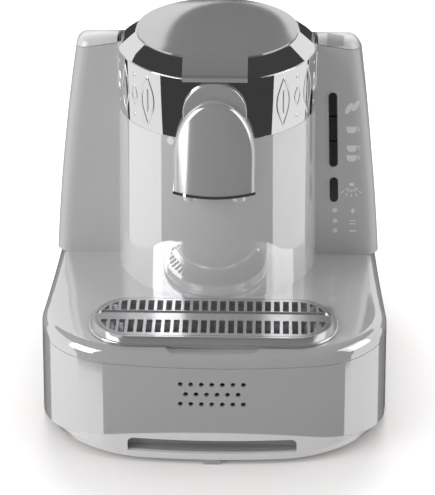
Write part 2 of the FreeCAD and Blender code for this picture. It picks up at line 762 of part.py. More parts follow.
def spout_nozzles():
    nozzles = []
    for x in (-NOZZLE_X, NOZZLE_X):
        tip = upright(x, NOZZLE_Y, NOZZLE_LOW, SPOUT_BOTTOM_Z + 3, NOZZLE_RADIUS)
        tip = tip.makeChamfer(0.8, [e for e in tip.Edges if e.BoundBox.ZMax < NOZZLE_LOW + 0.1])
        nozzles.append(tip.cut(upright(x, NOZZLE_Y, NOZZLE_LOW - 1, SPOUT_BOTTOM_Z + 4, NOZZLE_BORE)))
    return Part.makeCompound(nozzles)


def spout_duct():
    """The channel from the drain valve forward, which parts to the two nozzles"""
    z = SPOUT_BOTTOM_Z + 3 + DUCT_WALL + DUCT_BORE / 2
    half = NOZZLE_X + NOZZLE_BORE + DUCT_WALL
    head = box(-half, half, NOZZLE_Y - 4.4, NOZZLE_Y + 6, SPOUT_BOTTOM_Z + 3, z + DUCT_BORE / 2 + DUCT_WALL)
    neck = box(-DUCT_BORE, DUCT_BORE, NOZZLE_Y + 6, VALVE_Y - VALVE_BORE - 3, SPOUT_BOTTOM_Z + 3,
               z + DUCT_BORE / 2 + DUCT_WALL)
    inner_half = NOZZLE_X + NOZZLE_BORE
    way = box(-inner_half, inner_half, NOZZLE_Y - 2.6, NOZZLE_Y + 4, z - DUCT_BORE / 2, z + DUCT_BORE / 2)
    run = box(-DUCT_BORE / 2, DUCT_BORE / 2, NOZZLE_Y + 3, VALVE_Y, z - DUCT_BORE / 2, z + DUCT_BORE / 2)
    head = head.common(spout_body(-SPOUT_WALL - 0.3, SPOUT_BOTTOM_Z))
    way = way.common(spout_body(-SPOUT_WALL - 0.3 - DUCT_WALL, SPOUT_BOTTOM_Z))
    duct = head.fuse(neck).cut([way, run])
    for x in (-NOZZLE_X, NOZZLE_X):
        duct = duct.cut(upright(x, NOZZLE_Y, SPOUT_BOTTOM_Z, z, NOZZLE_BORE * 0.8))
    return duct


def spout_boss():
    return rod(V(0, BOSS_FRONT, BOSS_Z), V(0, 1, 0), BOSS_FACE_RADIUS, 20)


def spout_collar():
    """The round boss on the ring that the top of the spout comes out of"""
    boss = spout_boss()
    boss = boss.makeFillet(BOSS_EDGE, [e for e in boss.Edges if e.BoundBox.YMax < BOSS_FRONT + 1e-3])
    return boss.cut(column_core())


# Drain valve pieces

def gear_profile():
    """Half a tooth gap each side: points of one involute tooth of the pinion, as radius and angle"""
    pitch = GEAR_MODULE * GEAR_TEETH / 2
    base = pitch * math.cos(math.radians(PRESSURE_ANGLE))
    outer = pitch + GEAR_MODULE * 0.9
    root = pitch - GEAR_MODULE * 1.15
    half_pitch_angle = math.pi / (2 * GEAR_TEETH) - GEAR_BACKLASH / (4 * pitch)
    involute_at_pitch = math.tan(math.radians(PRESSURE_ANGLE)) - math.radians(PRESSURE_ANGLE)
    flank = []
    steps = 4
    for k in range(steps + 1):
        r = base + (outer - base) * k / steps
        roll = math.acos(base / r)
        flank.append((r, half_pitch_angle + involute_at_pitch - (math.tan(roll) - roll)))
    return [(root, flank[0][1])] + flank


def pinion_centre():
    pitch = GEAR_MODULE * GEAR_TEETH / 2
    return V(0, VALVE_Y + RACK_REACH + pitch, PINION_Z)


def pinion():
    """The driving gear, turning about X, with its shaft into the motor"""
    flank = gear_profile()
    points = []
    for tooth in range(GEAR_TEETH):
        centre = math.pi + tooth * 2 * math.pi / GEAR_TEETH
        for r, a in flank:
            points.append(V(0, r * math.cos(centre - a), r * math.sin(centre - a)))
        for r, a in reversed(flank):
            points.append(V(0, r * math.cos(centre + a), r * math.sin(centre + a)))
    gear = Part.Face(Part.makePolygon(points + points[:1])).extrude(V(GEAR_WIDTH, 0, 0))
    gear.translate(pinion_centre() - V(GEAR_WIDTH / 2, 0, 0))
    shaft = rod(pinion_centre() + V(GEAR_WIDTH / 2, 0, 0), V(1, 0, 0), 1.5, 8.0)
    return gear.fuse(shaft)


def valve_plug():
    """A plug that lifts off its seat, on a stem whose side carries the rack"""
    pitch = math.pi * GEAR_MODULE
    tip = GEAR_MODULE * 0.9
    lean = math.tan(math.radians(PRESSURE_ANGLE))
    line = VALVE_Y + RACK_REACH
    half = pitch / 4 - GEAR_BACKLASH / 4
    low = PINION_Z - RACK_TEETH / 2 * pitch
    points = [(VALVE_Y - STEM_RADIUS, low), (line - GEAR_MODULE * 1.15, low)]
    for k in range(RACK_TEETH):
        z = low + (k + 0.5) * pitch
        root = half + GEAR_MODULE * 1.15 * lean
        crest = half - tip * lean
        points += [(line - GEAR_MODULE * 1.15, z - root), (line + tip, z - crest),
                   (line + tip, z + crest), (line - GEAR_MODULE * 1.15, z + root)]
    top = low + RACK_TEETH * pitch
    points += [(line - GEAR_MODULE * 1.15, top), (VALVE_Y - STEM_RADIUS, top)]
    rack = side_profile(points, -GEAR_WIDTH / 2 + 0.5, GEAR_WIDTH / 2 - 0.5)
    seat_z = CHAMBER_FLOOR_Z - 4.0
    stem = upright(0, VALVE_Y, top - 1, seat_z, STEM_RADIUS)
    plug = Part.makeCone(VALVE_BORE - 1.4, VALVE_BORE - 0.4, 3.0, V(0, VALVE_Y, seat_z), V(0, 0, 1))
    return rack.fuse([stem, plug])


def valve_body():
    """The seat under the drain hole, with the guide of the stem"""
    top = CHAMBER_FLOOR_Z - 0.2
    low = SPOUT_BOTTOM_Z + 3
    outer = upright(0, VALVE_Y, low, top, VALVE_BORE + 3)
    bowl = upright(0, VALVE_Y, low + 3, top + 1, VALVE_BORE)
    guide = upright(0, VALVE_Y, low - 1, top, STEM_RADIUS + 0.08)
    z = SPOUT_BOTTOM_Z + 3 + DUCT_WALL + DUCT_BORE / 2
    port = box(-DUCT_BORE / 2, DUCT_BORE / 2, VALVE_Y - VALVE_BORE - 5, VALVE_Y, z - DUCT_BORE / 2 + 1.2,
               z + DUCT_BORE / 2)
    return outer.cut([bowl, guide, port])


def valve_motor():
    centre = pinion_centre()
    can = rod(centre + V(GEAR_WIDTH / 2 + 2, 0, 0), V(1, 0, 0), MOTOR_RADIUS, MOTOR_LENGTH)
    bore = rod(centre + V(GEAR_WIDTH / 2, 0, 0), V(1, 0, 0), 1.56, 8.4)
    ear_x = centre.x + GEAR_WIDTH / 2 + 2
    ears = box(ear_x, ear_x + 2, centre.y - 18, centre.y + 18, centre.z - 4, centre.z + 4)
    return can.fuse(ears).cut(bore)


def motor_bracket():
    """The frame that hangs under the chamber and carries the valve motor"""
    centre = pinion_centre()
    x = centre.x + GEAR_WIDTH / 2 + 2 + MOTOR_LENGTH
    plate = box(x, x + 2, centre.y - 14, centre.y + 20, centre.z - 14, CHAMBER_FLOOR_Z)
    return plate


# Lid pieces

def lid_places():
    r = BEVEL_RADIUS
    rise = LID_APEX - BEVEL_TOP - LID_EDGE_THICK
    return r, (r ** 2 + rise ** 2) / (2 * rise)


def lid_shell():
    """A low dome with a tab over the front bevel and two hinge arms at the rear"""
    r, crown = lid_places()
    low = BEVEL_TOP + LID_GAP
    disc = upright(0, COLUMN_Y, low, LID_APEX + 2, r)
    dome = Part.makeSphere(crown, V(0, COLUMN_Y, LID_APEX - crown))
    disc = disc.common(dome)
    hollow = Part.makeSphere(crown - LID_THICK, V(0, COLUMN_Y, LID_APEX - crown))
    hollow = hollow.common(upright(0, COLUMN_Y, low - 1, LID_APEX, r - 4))
    disc = disc.cut(hollow)
    start_y = COLUMN_Y - BEVEL_RADIUS
    tab = side_profile([
        (start_y + 8, low), (start_y - 0.9, low), (LID_TAB_FRONT + 0.8, LID_TAB_LOW),
        (LID_TAB_FRONT, LID_TAB_LOW + 0.5), (LID_TAB_FRONT, LID_TAB_LOW + LID_TAB_THICK),
        (start_y - 1, low + LID_TAB_THICK), (start_y + 8, low + LID_TAB_THICK + 0.6),
    ], -LID_TAB_WIDTH / 2, LID_TAB_WIDTH / 2)
    hollow_disc = upright(0, COLUMN_Y, low - 1, LID_APEX, r - 2)
    shell = disc.fuse([tab.cut(hollow_disc), lid_arm()])
    pin = rod(V(-40, LID_HINGE_Y, LID_HINGE_Z), V(1, 0, 0), LID_PIN_RADIUS + PIN_CLEARANCE, 80)
    return shell.cut(pin)


def lid_arm():
    half = LID_KNUCKLE_WIDTH / 2
    knuckle = rod(V(-half, LID_HINGE_Y, LID_HINGE_Z), V(1, 0, 0), LID_KNUCKLE_RADIUS, 2 * half)
    low = BEVEL_TOP + LID_GAP
    arm = box(-half, half, COLUMN_Y + BEVEL_RADIUS - 3, LID_HINGE_Y, low, LID_HINGE_Z + LID_KNUCKLE_RADIUS - 0.5)
    return knuckle.fuse(arm)


def lid_liner():
    """The inner plate of the lid, a shallow dish that plugs the bevel's bore"""
    low = BEVEL_TOP + LID_GAP
    r = BEVEL_BORE - 1.2
    plate = turned([(0, low - 3.5), (r - 2, low - 3.5), (r, low - 1.5), (r, low), (r - 2, low),
                    (r - 2, low - 1.5), (0, low - 1.5)])
    return plate


def lid_tab_pad():
    """The dark pad under the tab's front edge"""
    half = LID_TAB_WIDTH / 2
    pad = box(-half, half, LID_TAB_FRONT + 0.3, COLUMN_Y - RING_RADIUS - 0.5, RING_TOP + 0.2, LID_TAB_LOW + 2)
    return pad.cut(lid_shell())


def lid_gasket():
    low = BEVEL_TOP + LID_GAP
    r = BEVEL_BORE - 1.2
    return turned([(r - 6, low - 5.0), (r - 3, low - 5.0), (r - 3, low - 3.5), (r - 6, low - 3.5)])


def lid_hinge_bracket():
    """Two fixed knuckles that stand on the bevel, outside the arm of the lid"""
    inner = LID_KNUCKLE_WIDTH / 2 + 0.3
    width = LID_HINGE_WIDTH / 2 - inner
    below = turned([(0, RING_TOP - 1), (RING_RADIUS - 0.6, RING_TOP - 1), (RING_RADIUS - 0.6, RING_TOP + 0.5),
                    (BEVEL_RADIUS + 0.3, BEVEL_TOP), (0, BEVEL_TOP)])
    pin = rod(V(-40, LID_HINGE_Y, LID_HINGE_Z), V(1, 0, 0), LID_PIN_RADIUS, 80)
    knuckles = []
    for x in (-inner - width, inner):
        knuckle = rod(V(x, LID_HINGE_Y, LID_HINGE_Z), V(1, 0, 0), LID_KNUCKLE_RADIUS, width)
        post = box(x, x + width, LID_HINGE_Y - 3, LID_HINGE_Y + 3, RING_TOP + 2, LID_HINGE_Z)
        knuckles.append(knuckle.fuse(post).cut(below).cut(pin))
    return Part.makeCompound(knuckles)


def lid_pin():
    half = LID_HINGE_WIDTH / 2
    return rod(V(-half, LID_HINGE_Y, LID_HINGE_Z), V(1, 0, 0), LID_PIN_RADIUS, 2 * half)


# Housing pieces

def housing_walls():
    outer = housing_body().common(below_roof(CAP_HEIGHT)).common(roof_crown(CAP_HEIGHT))
    inner = housing_body(-WALL)
    walls = outer.cut(inner)
    walls = walls.cut(column_cone(0, DECK_Z - 1, RING_LOW)).cut(column_top(0))
    rear = HOUSING_REARS[2] - 7
    seam = roof_height(rear) - CAP_HEIGHT
    swing = box(-84, 84, rear + 2, BASE_REAR + 5, seam - 6, ROOF_Z)
    recess = box(-HINGE_RECESS_HALF, HINGE_RECESS_HALF, rear, BASE_REAR + 5, seam - 10, ROOF_Z)
    return walls.cut([swing, recess] + button_cuts())


def column_top(grow):
    return upright(0, COLUMN_Y, RING_LOW - 1, ROOF_Z + 20, RING_RADIUS + grow)


def crown_height(x):
    """The roof's arch across the machine, which stands at the roof height where the ring's side is"""
    r = ROOF_CROWN_RADIUS
    return ROOF_Z + math.sqrt(r ** 2 - x ** 2) - math.sqrt(r ** 2 - RING_RADIUS ** 2)


def roof_crown(drop):
    """Everything under a broad arch, lowered by drop, so that roof and seam fall towards the sides"""
    top = crown_height(0) - drop
    length = BASE_REAR + 40
    return Part.makeCylinder(ROOF_CROWN_RADIUS, length, V(0, HOUSING_FRONT - 10, top - ROOF_CROWN_RADIUS), V(0, 1, 0))


def side_cover(side):
    """One half of the housing's front and side wall: side is -1 for the left and 1 for the right"""
    inner_x, outer_x = sorted((0, side * 130))
    cover = housing_walls().common(box(inner_x, outer_x, 0, REAR_SPLIT_Y, DECK_Z, ROOF_Z))
    if side > 0:
        cover = cover.fuse(board_posts())
    return cover


def rear_cover():
    walls = housing_walls()
    cover = walls.common(box(-130, 130, REAR_SPLIT_Y, 160, DECK_Z, ROOF_Z))
    vents = []
    for k in range(VENT_COUNT):
        x = (k - (VENT_COUNT - 1) / 2) * VENT_PITCH
        vents.append(box(x - VENT_WIDTH / 2, x + VENT_WIDTH / 2, 125, 145, VENT_LOW, VENT_HIGH))
    return cover.cut(vents)


def cap_block():
    """The housing block up to its roof, with the roof's edges rounded"""
    block = housing_body().common(below_roof(0)).common(roof_crown(0))
    rim = []
    for edge in block.Edges:
        middle = edge.valueAt((edge.FirstParameter + edge.LastParameter) / 2)
        line, arch = roof_height(middle.y), crown_height(middle.x)
        on_roof = abs(middle.z - min(line, arch)) < 0.05
        inside = middle.y > HOUSING_FRONT + 1 and abs(middle.x) < HOUSING_HALF_WIDTHS[2][1] - 4
        if on_roof and not inside:
            rim.append(edge)
    return block.makeFillet(ROOF_ROUND, rim)


def tank_lid():
    """The cap over tank and housing: a crowned shell, cut round the ring, hinged on the tank's rear"""
    drop = CAP_HEIGHT - CAP_GAP
    cap = cap_block().cut(below_roof(drop).common(roof_crown(drop)))
    cap = cap.cut(housing_body(-WALL).common(below_roof(WALL)).common(roof_crown(WALL)))
    cap = cap.cut(column_top(RING_GAP))
    z = tank_hinge_z()
    for x in (TANK_EAR_X[0], TANK_EAR_X[1]):
        cap = cap.cut(box(x - 0.4, x + TANK_EAR_WIDTH + 0.4, 120, 145, z - 8, z + 3.4))
    x0 = TANK_EAR_X[0] + TANK_EAR_WIDTH + 0.4
    x1 = TANK_EAR_X[1] - 0.4
    knuckle = rod(V(x0, TANK_HINGE_Y, z), V(1, 0, 0), TANK_KNUCKLE_RADIUS, x1 - x0)
    web = side_profile([(TANK_HINGE_Y - 2.6, z), (TANK_HINGE_Y + 1.6, z), (TANK_HINGE_Y + 1.6, z + 3.4),
                        (TANK_HINGE_Y - 2.6, z + 5.2)], x0, x1)
    cap = cap.fuse([knuckle, web.common(cap_block())])
    return cap.cut(tank_pin_rod(PIN_CLEARANCE))


def tank_pin_rod(grow):
    length = TANK_EAR_X[1] + TANK_EAR_WIDTH - TANK_EAR_X[0]
    return rod(V(TANK_EAR_X[0], TANK_HINGE_Y, tank_hinge_z()), V(1, 0, 0), TANK_PIN_RADIUS + grow, length)


def tank_lid_pin():
    return tank_pin_rod(0)


def lift_tab():
    """A thin tab wrapped over the cap's front edge, by which the cap is lifted"""
    block = cap_block()
    skin = block.copy()
    skin.translate(V(0, -LIFT_TAB_PROUD, LIFT_TAB_PROUD * 0.8))
    half = LIFT_TAB_WIDTH / 2
    low = crown_height(LIFT_TAB_X) - CAP_HEIGHT + LIFT_TAB_RISE
    window = box(LIFT_TAB_X - half, LIFT_TAB_X + half, 0, HOUSING_FRONT + 8, low, ROOF_Z + 5)
    return skin.common(window).cut(block)


def button_lean(shape):
    """Leans what is built upright at the button column towards the machine's middle, as the wall does"""
    shape = shape.copy()
    shape.rotate(V(BUTTON_X, 0, BUTTON_LEAN_Z), V(0, 1, 0), -BUTTON_LEAN)
    return shape


def capsule(z0, z1, half, y0, y1, round_top, round_bottom):
    """A flat bar in the wall plane with round or square ends"""
    x = BUTTON_X
    low = z0 + half if round_bottom else z0
    high = z1 - half if round_top else z1
    bar = box(x - half, x + half, y0, y1, low, high)
    if round_bottom:
        bar = bar.fuse(rod(V(x, y0, low), V(0, 1, 0), half, y1 - y0))
    if round_top:
        bar = bar.fuse(rod(V(x, y0, high), V(0, 1, 0), half, y1 - y0))
    return bar.removeSplitter()


def button_groups():
    """The bottom and top of the group of three and of the single button"""
    return ((BUTTON_SPANS[2][0], BUTTON_SPANS[0][1]), BUTTON_SPANS[3])


def button_cuts():
    cuts = []
    half = BUTTON_WIDTH / 2 + BUTTON_GAP + BEZEL_WIDTH
    for z0, z1 in button_groups():
        grow = BUTTON_GAP + BEZEL_WIDTH
        cuts.append(button_lean(capsule(z0 - grow, z1 + grow, half, 0, 20, True, True)))
    for z in STATUS_Z:
        cuts.append(button_lean(rod(V(BUTTON_X + 0.5, 0, z), V(0, 1, 0), STATUS_RADIUS, 20)))
    return cuts


def button_bezel():
    """The frames round the buttons, let into the wall"""
    frames = []
    y0 = HOUSING_FRONT - BEZEL_PROUD
    y1 = HOUSING_FRONT + WALL
    for z0, z1 in button_groups():
        outer_grow = BUTTON_GAP + BEZEL_WIDTH
        outer = capsule(z0 - outer_grow, z1 + outer_grow, BUTTON_WIDTH / 2 + outer_grow, y0, y1, True, True)
        inner = capsule(z0 - BUTTON_GAP, z1 + BUTTON_GAP, BUTTON_WIDTH / 2 + BUTTON_GAP, y0 - 1, y1 + 1, True, True)
        frames.append(button_lean(outer.cut(inner)))
    return Part.makeCompound(frames)


def button(index):
    z0, z1 = BUTTON_SPANS[index]
    half = BUTTON_WIDTH / 2
    y0 = HOUSING_FRONT - BUTTON_PROUD
    cap = capsule(z0, z1, half, y0, y0 + BUTTON_DEPTH, index in (0, 3), index in (2, 3))
    face = [e for e in cap.Edges if e.BoundBox.YMax < y0 + 1e-3]
    return button_lean(cap.makeFillet(0.6, face))


def status_lenses():
    lenses = []
    for z in STATUS_Z:
        y0 = HOUSING_FRONT - 0.3
        lens = rod(V(BUTTON_X + 0.5, y0, z), V(0, 1, 0), STATUS_RADIUS, board_face() - y0)
        lenses.append(button_lean(lens))
    return Part.makeCompound(lenses)


def board_face():
    return HOUSING_FRONT - BUTTON_PROUD + BUTTON_DEPTH + BUTTON_TRAVEL + 0.4


def control_board():
    y = board_face()
    switches = []
    for z0, z1 in BUTTON_SPANS:
        z = (z0 + z1) / 2
        switches.append(box(BUTTON_X - 2, BUTTON_X + 2, y - 0.3, y, z - 2, z + 2))
    board = box(BUTTON_X - 9, BUTTON_X + 12, y, y + BOARD_THICK, STATUS_Z[2] - 6, BUTTON_SPANS[0][1] + 4)
    return button_lean(board.fuse(switches))


def board_posts():
    """Two posts behind the front wall that carry the control board"""
    y0 = HOUSING_FRONT + WALL
    posts = []
    for z in (STATUS_Z[2] - 3, BUTTON_SPANS[3][1] + 4.4, BUTTON_SPANS[0][1] + 2):
        posts.append(button_lean(rod(V(BUTTON_X + 8.5, y0, z), V(0, 1, 0), 2.0, board_face() - y0)))
    return posts


def tank_bay():
    """The floor and front wall of the bay that the tank stands in, on four legs"""
    low = BAY_FLOOR_Z
    half = TANK_HALF_WIDTH + 4
    floor = box(-half, half, TANK_FRONT - 3, TANK_REAR + 2, low - BAY_WALL, low)
    wall = box(-half, half, TANK_FRONT - 3, TANK_FRONT - 3 + BAY_WALL, low, roof_height(TANK_FRONT) - CAP_HEIGHT - 3)
    legs = []
    for x in (-TANK_HALF_WIDTH, TANK_HALF_WIDTH - 6):
        for y in (TANK_FRONT, TANK_REAR - 18):
            legs.append(box(x, x + 6, y, y + 6, DECK_Z, TANK_BOTTOM))
    bay = floor.fuse([wall] + legs)
    return bay.cut(at_outlet(low - 5, low + 5, TANK_OUTLET_RADIUS + 3.3))


def outlet_y():
    return (TANK_FRONT + TANK_REAR) / 2


def at_outlet(z0, z1, radius):
    return upright(TANK_OUTLET_X, outlet_y(), z0, z1, radius)


def tank_plan(grow, z0, z1):
    return rounded_bar(TANK_HALF_WIDTH + grow, TANK_FRONT - grow, TANK_REAR + grow, TANK_CORNER + grow, z0, z1)


def water_tank():
    """The removable tank: an open box with an outlet neck below and two hinge ears behind"""
    outer = tank_plan(0, TANK_BOTTOM, ROOF_Z).common(below_roof(CAP_HEIGHT + TANK_TO_CAP))
    outer = outer.makeFillet(3.0, [e for e in outer.Edges if e.BoundBox.ZMax < TANK_BOTTOM + 1e-3])
    tank = outer.cut(tank_plan(-TANK_WALL, TANK_BOTTOM + TANK_WALL, ROOF_Z))
    tank = tank.fuse(at_outlet(TANK_BOTTOM - TANK_NECK, TANK_BOTTOM + 1, TANK_OUTLET_RADIUS))
    tank = tank.cut(at_outlet(TANK_BOTTOM - TANK_NECK - 1, TANK_BOTTOM + 5, TANK_OUTLET_RADIUS - 2))
    for x in TANK_EAR_X:
        tank = tank.fuse(tank_ear(x))
    return tank.cut(tank_pin_rod(0))


def tank_hinge_z():
    return roof_height(TANK_HINGE_Y) - CAP_HEIGHT + 0.6


def tank_ear(x):
    """An ear on the tank's rear wall that holds the hinge pin"""
    z = tank_hinge_z()
    ear = rod(V(x, TANK_HINGE_Y, z), V(1, 0, 0), TANK_KNUCKLE_RADIUS, TANK_EAR_WIDTH)
    web = side_profile([(TANK_REAR - 1.5, z - 12), (TANK_HINGE_Y, z - TANK_KNUCKLE_RADIUS), (TANK_HINGE_Y, z),
                        (TANK_REAR - 1.5, z - 2.5)], x, x + TANK_EAR_WIDTH)
    return ear.fuse(web)


def tank_valve():
    """The sprung plunger in the tank's neck, which the socket's pin holds open"""
    top = TANK_BOTTOM + TANK_WALL
    disc = at_outlet(top + 0.3, top + 2.5, TANK_OUTLET_RADIUS - 0.6)
    stem = at_outlet(BAY_FLOOR_Z + 3.4, top + 0.3, TANK_STEM_RADIUS)
    return disc.fuse(stem)


def tank_socket():
    """The cup in the bay floor that takes the tank's neck, with the pin that opens its valve"""
    low = BAY_FLOOR_Z - BAY_WALL
    flange = at_outlet(BAY_FLOOR_Z, BAY_FLOOR_Z + 1.2, TANK_OUTLET_RADIUS + 5)
    cup = at_outlet(low - 3, BAY_FLOOR_Z + 1, TANK_OUTLET_RADIUS + 3.2)
    hollow = at_outlet(low - 1, BAY_FLOOR_Z + 3, TANK_OUTLET_RADIUS + 0.8)
    pin = at_outlet(low - 2, BAY_FLOOR_Z + 3.2, 1.2)
    nipple = at_outlet(low - 9, low - 2, HOSE_RADIUS - 1.2)
    return flange.fuse(cup).cut(hollow).fuse([pin, nipple])


def socket_seal():
    """The seal ring that the tank's neck presses on"""
    low = BAY_FLOOR_Z - BAY_WALL - 1
    top = TANK_BOTTOM - TANK_NECK
    ring = at_outlet(low, top, TANK_OUTLET_RADIUS + 0.8)
    return ring.cut(at_outlet(low - 1, top + 1, TANK_OUTLET_RADIUS - 2.4))


# Pump, hoses and boards

def pump():
    y0, y1 = PUMP_Y
    motor = rod(V(PUMP_X, y0, PUMP_Z), V(0, 1, 0), PUMP_RADIUS, y1 - y0)
    head = rod(V(PUMP_X, y1, PUMP_Z), V(0, 1, 0), PUMP_RADIUS - 5, 10)
    stub = rod(V(PUMP_X, y0 - 8, PUMP_Z), V(0, 1, 0), HOSE_RADIUS - 1.2, 8)
    outlet = rod(V(PUMP_X, y1 + 10, PUMP_Z), V(0, 1, 0), HOSE_RADIUS - 1.2, 8)
    return motor.fuse([head, stub, outlet])


def pump_mounts():
    """Two rubber saddles that the pump lies in"""
    low = PAN_BOTTOM + FLOOR
    saddles = []
    for y in (PUMP_Y[0] + 8, PUMP_Y[1] - 16):
        block = box(PUMP_X - PUMP_RADIUS, PUMP_X + PUMP_RADIUS, y, y + 8, low, PUMP_Z - 4)
        saddles.append(block.cut(rod(V(PUMP_X, y - 1, PUMP_Z), V(0, 1, 0), PUMP_RADIUS, 12)))
    return Part.makeCompound(saddles)


def hose(points, bends):
    """A round hose along straight runs joined by tangent arcs"""
    edges = []
    start = points[0]
    for corner, after, bend in zip(points[1:], points[2:], bends):
        before = (start - corner).normalize()
        onward = (after - corner).normalize()
        half_angle = before.getAngle(onward) / 2
        reach = bend / math.tan(half_angle)
        a = corner + before * reach
        b = corner + onward * reach
        bisector = (before + onward).normalize()
        middle = corner + bisector * (bend / math.sin(half_angle) - bend)
        edges.append(edge_through((start, a)))
        edges.append(edge_through((a, middle, b)))
        start = b
    edges.append(edge_through((start, points[-1])))
    path = Part.Wire(edges)
    direction = (points[1] - points[0]).normalize()
    circle = Part.Wire(Part.Circle(points[0], direction, HOSE_RADIUS).toShape())
    return path.makePipeShell([circle], True, True)


def inlet_hose():
    """From the nipple under the tank down through the deck, and forward into the pump"""
    x, y = TANK_OUTLET_X, outlet_y()
    top = BAY_FLOOR_Z - BAY_WALL - 3
    pump_end = V(PUMP_X, PUMP_Y[0], PUMP_Z)
    points = [V(x, y, top), V(x, y, PUMP_Z), V(x, PUMP_Y[0] - 30, PUMP_Z), V(PUMP_X, PUMP_Y[0] - 30, PUMP_Z), pump_end]
    tube = hose(points, (18, 18, 14))
    nipple = at_outlet(top - 8, top + 1, HOSE_RADIUS - 1.2)
    stub = rod(V(PUMP_X, PUMP_Y[0] - 8, PUMP_Z), V(0, 1, 0), HOSE_RADIUS - 1.2, 9)
    return tube.cut([nipple, stub])


def outlet_hose():
    """From the pump up behind the column to the elbow at the chamber's rim"""
    y = PUMP_Y[1] + 10
    rise_y = INLET_Y
    points = [V(PUMP_X, y, PUMP_Z), V(PUMP_X, y + 26, PUMP_Z), V(INLET_X, y + 26, PUMP_Z + 24),
              V(INLET_X, rise_y, PUMP_Z + 44), V(INLET_X, rise_y, INLET_Z)]
    tube = hose(points, (10, 10, 10))
    stub = rod(V(PUMP_X, y, PUMP_Z), V(0, 1, 0), HOSE_RADIUS - 1.2, 8)
    return tube.cut([stub, upright(INLET_X, rise_y, INLET_Z - 8, INLET_Z + 1, HOSE_RADIUS - 1.2)])


def main_board():
    """The power board on its posts, with a relay, a transformer and a terminal block"""
    x0, x1, y0, y1 = BOARD_AREA
    low = PAN_BOTTOM + FLOOR + BOARD_LIFT
    board = box(x0, x1, y0, y1, low, low + BOARD_THICK)
    top = low + BOARD_THICK
    parts = [
        box(x0 + 6, x0 + 24, y0 + 6, y0 + 21, top, top + 15),
        box(x0 + 28, x0 + 44, y0 + 8, y0 + 34, top, top + 20),
        box(x0 + 6, x0 + 28, y1 - 16, y1 - 6, top, top + 11),
        upright(x0 + 37, y1 - 14, top, top + 18, 6),
    ]
    return board.fuse(parts)


def board_places():
    x0, x1, y0, y1 = BOARD_AREA
    return [(x, y) for x in (x0 + 3.5, x1 - 3.5) for y in (y0 + 3.5, y1 - 3.5)]


def cable_gland():
    """A flanged bush in the rear wall, where the mains lead comes out"""
    skin = BASE_REAR + BASE_DRAFT * (DECK_Z - GLAND_Z) / (DECK_Z - PAN_BOTTOM)
    flange = rod(V(GLAND_X, skin, GLAND_Z), V(0, 1, 0), GLAND_RADIUS + 3, 1.0)
    body = rod(V(GLAND_X, skin - WALL - 5, GLAND_Z), V(0, 1, 0), GLAND_RADIUS, WALL + 5)
    bore = rod(V(GLAND_X, skin - 20, GLAND_Z), V(0, 1, 0), GLAND_BORE, 40)
    wall = base_body(LIP_SIDE_Z - 4, DECK_SEAM_Z)
    return flange.cut(wall).fuse(body).cut(bore)


def inlet_elbow():
    """The elbow that turns the pumped water over the chamber's rim"""
    rise = upright(INLET_X, INLET_Y, INLET_Z - 8, INLET_Z + 9, HOSE_RADIUS - 1.2)
    return rise.fuse(inlet_spout())


def inlet_spout():
    reach = INLET_Y - COLUMN_Y - CHAMBER_RADIUS + 5
    return rod(V(INLET_X, INLET_Y + 2, INLET_Z + 6), V(0, -1, 0), HOSE_RADIUS - 1.2, reach + 2)


def export_all():
    pieces = {
        "base_pan": base_pan, "grip_insert": grip_insert, "front_foot": front_foot,
        "rubber_feet": rubber_feet, "base_screws": base_screws, "base_skirt": base_skirt,
        "speaker": speaker, "deck_plate": deck_plate, "drip_tray": drip_tray, "drip_grid": drip_grid,
        "column_shell": column_shell, "sensor_lens": sensor_lens, "ring_collar": ring_collar,
        "ring_bevel": ring_bevel, "brew_chamber": brew_chamber, "chamber_seal": chamber_seal,
        "heater_plate": heater_plate, "thermostat": thermostat, "spout_cover": spout_cover,
        "spout_trim": spout_trim, "spout_nozzles": spout_nozzles, "spout_duct": spout_duct,
        "spout_collar": spout_collar, "valve_plug": valve_plug, "valve_body": valve_body,
        "valve_motor": valve_motor, "motor_bracket": motor_bracket, "pinion": pinion,
        "lid_shell": lid_shell, "lid_liner": lid_liner, "lid_gasket": lid_gasket, "lid_tab_pad": lid_tab_pad,
        "lid_hinge_bracket": lid_hinge_bracket, "lid_pin": lid_pin, "rear_cover": rear_cover,
        "tank_lid": tank_lid, "tank_lid_pin": tank_lid_pin, "lift_tab": lift_tab,
        "button_bezel": button_bezel, "status_lenses": status_lenses, "control_board": control_board,
        "tank_bay": tank_bay, "water_tank": water_tank, "tank_valve": tank_valve,
        "tank_socket": tank_socket, "socket_seal": socket_seal, "pump": pump, "pump_mounts": pump_mounts,
        "inlet_hose": inlet_hose, "outlet_hose": outlet_hose, "inlet_elbow": inlet_elbow,
        "main_board": main_board, "cable_gland": cable_gland,
    }
    for name, make in pieces.items():
        export(name, make())
    export("left_side_cover", side_cover(-1))
    export("right_side_cover", side_cover(1))
    for index in range(4):
        export("button_" + str(index + 1), button(index))


export_all()
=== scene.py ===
import json
import math

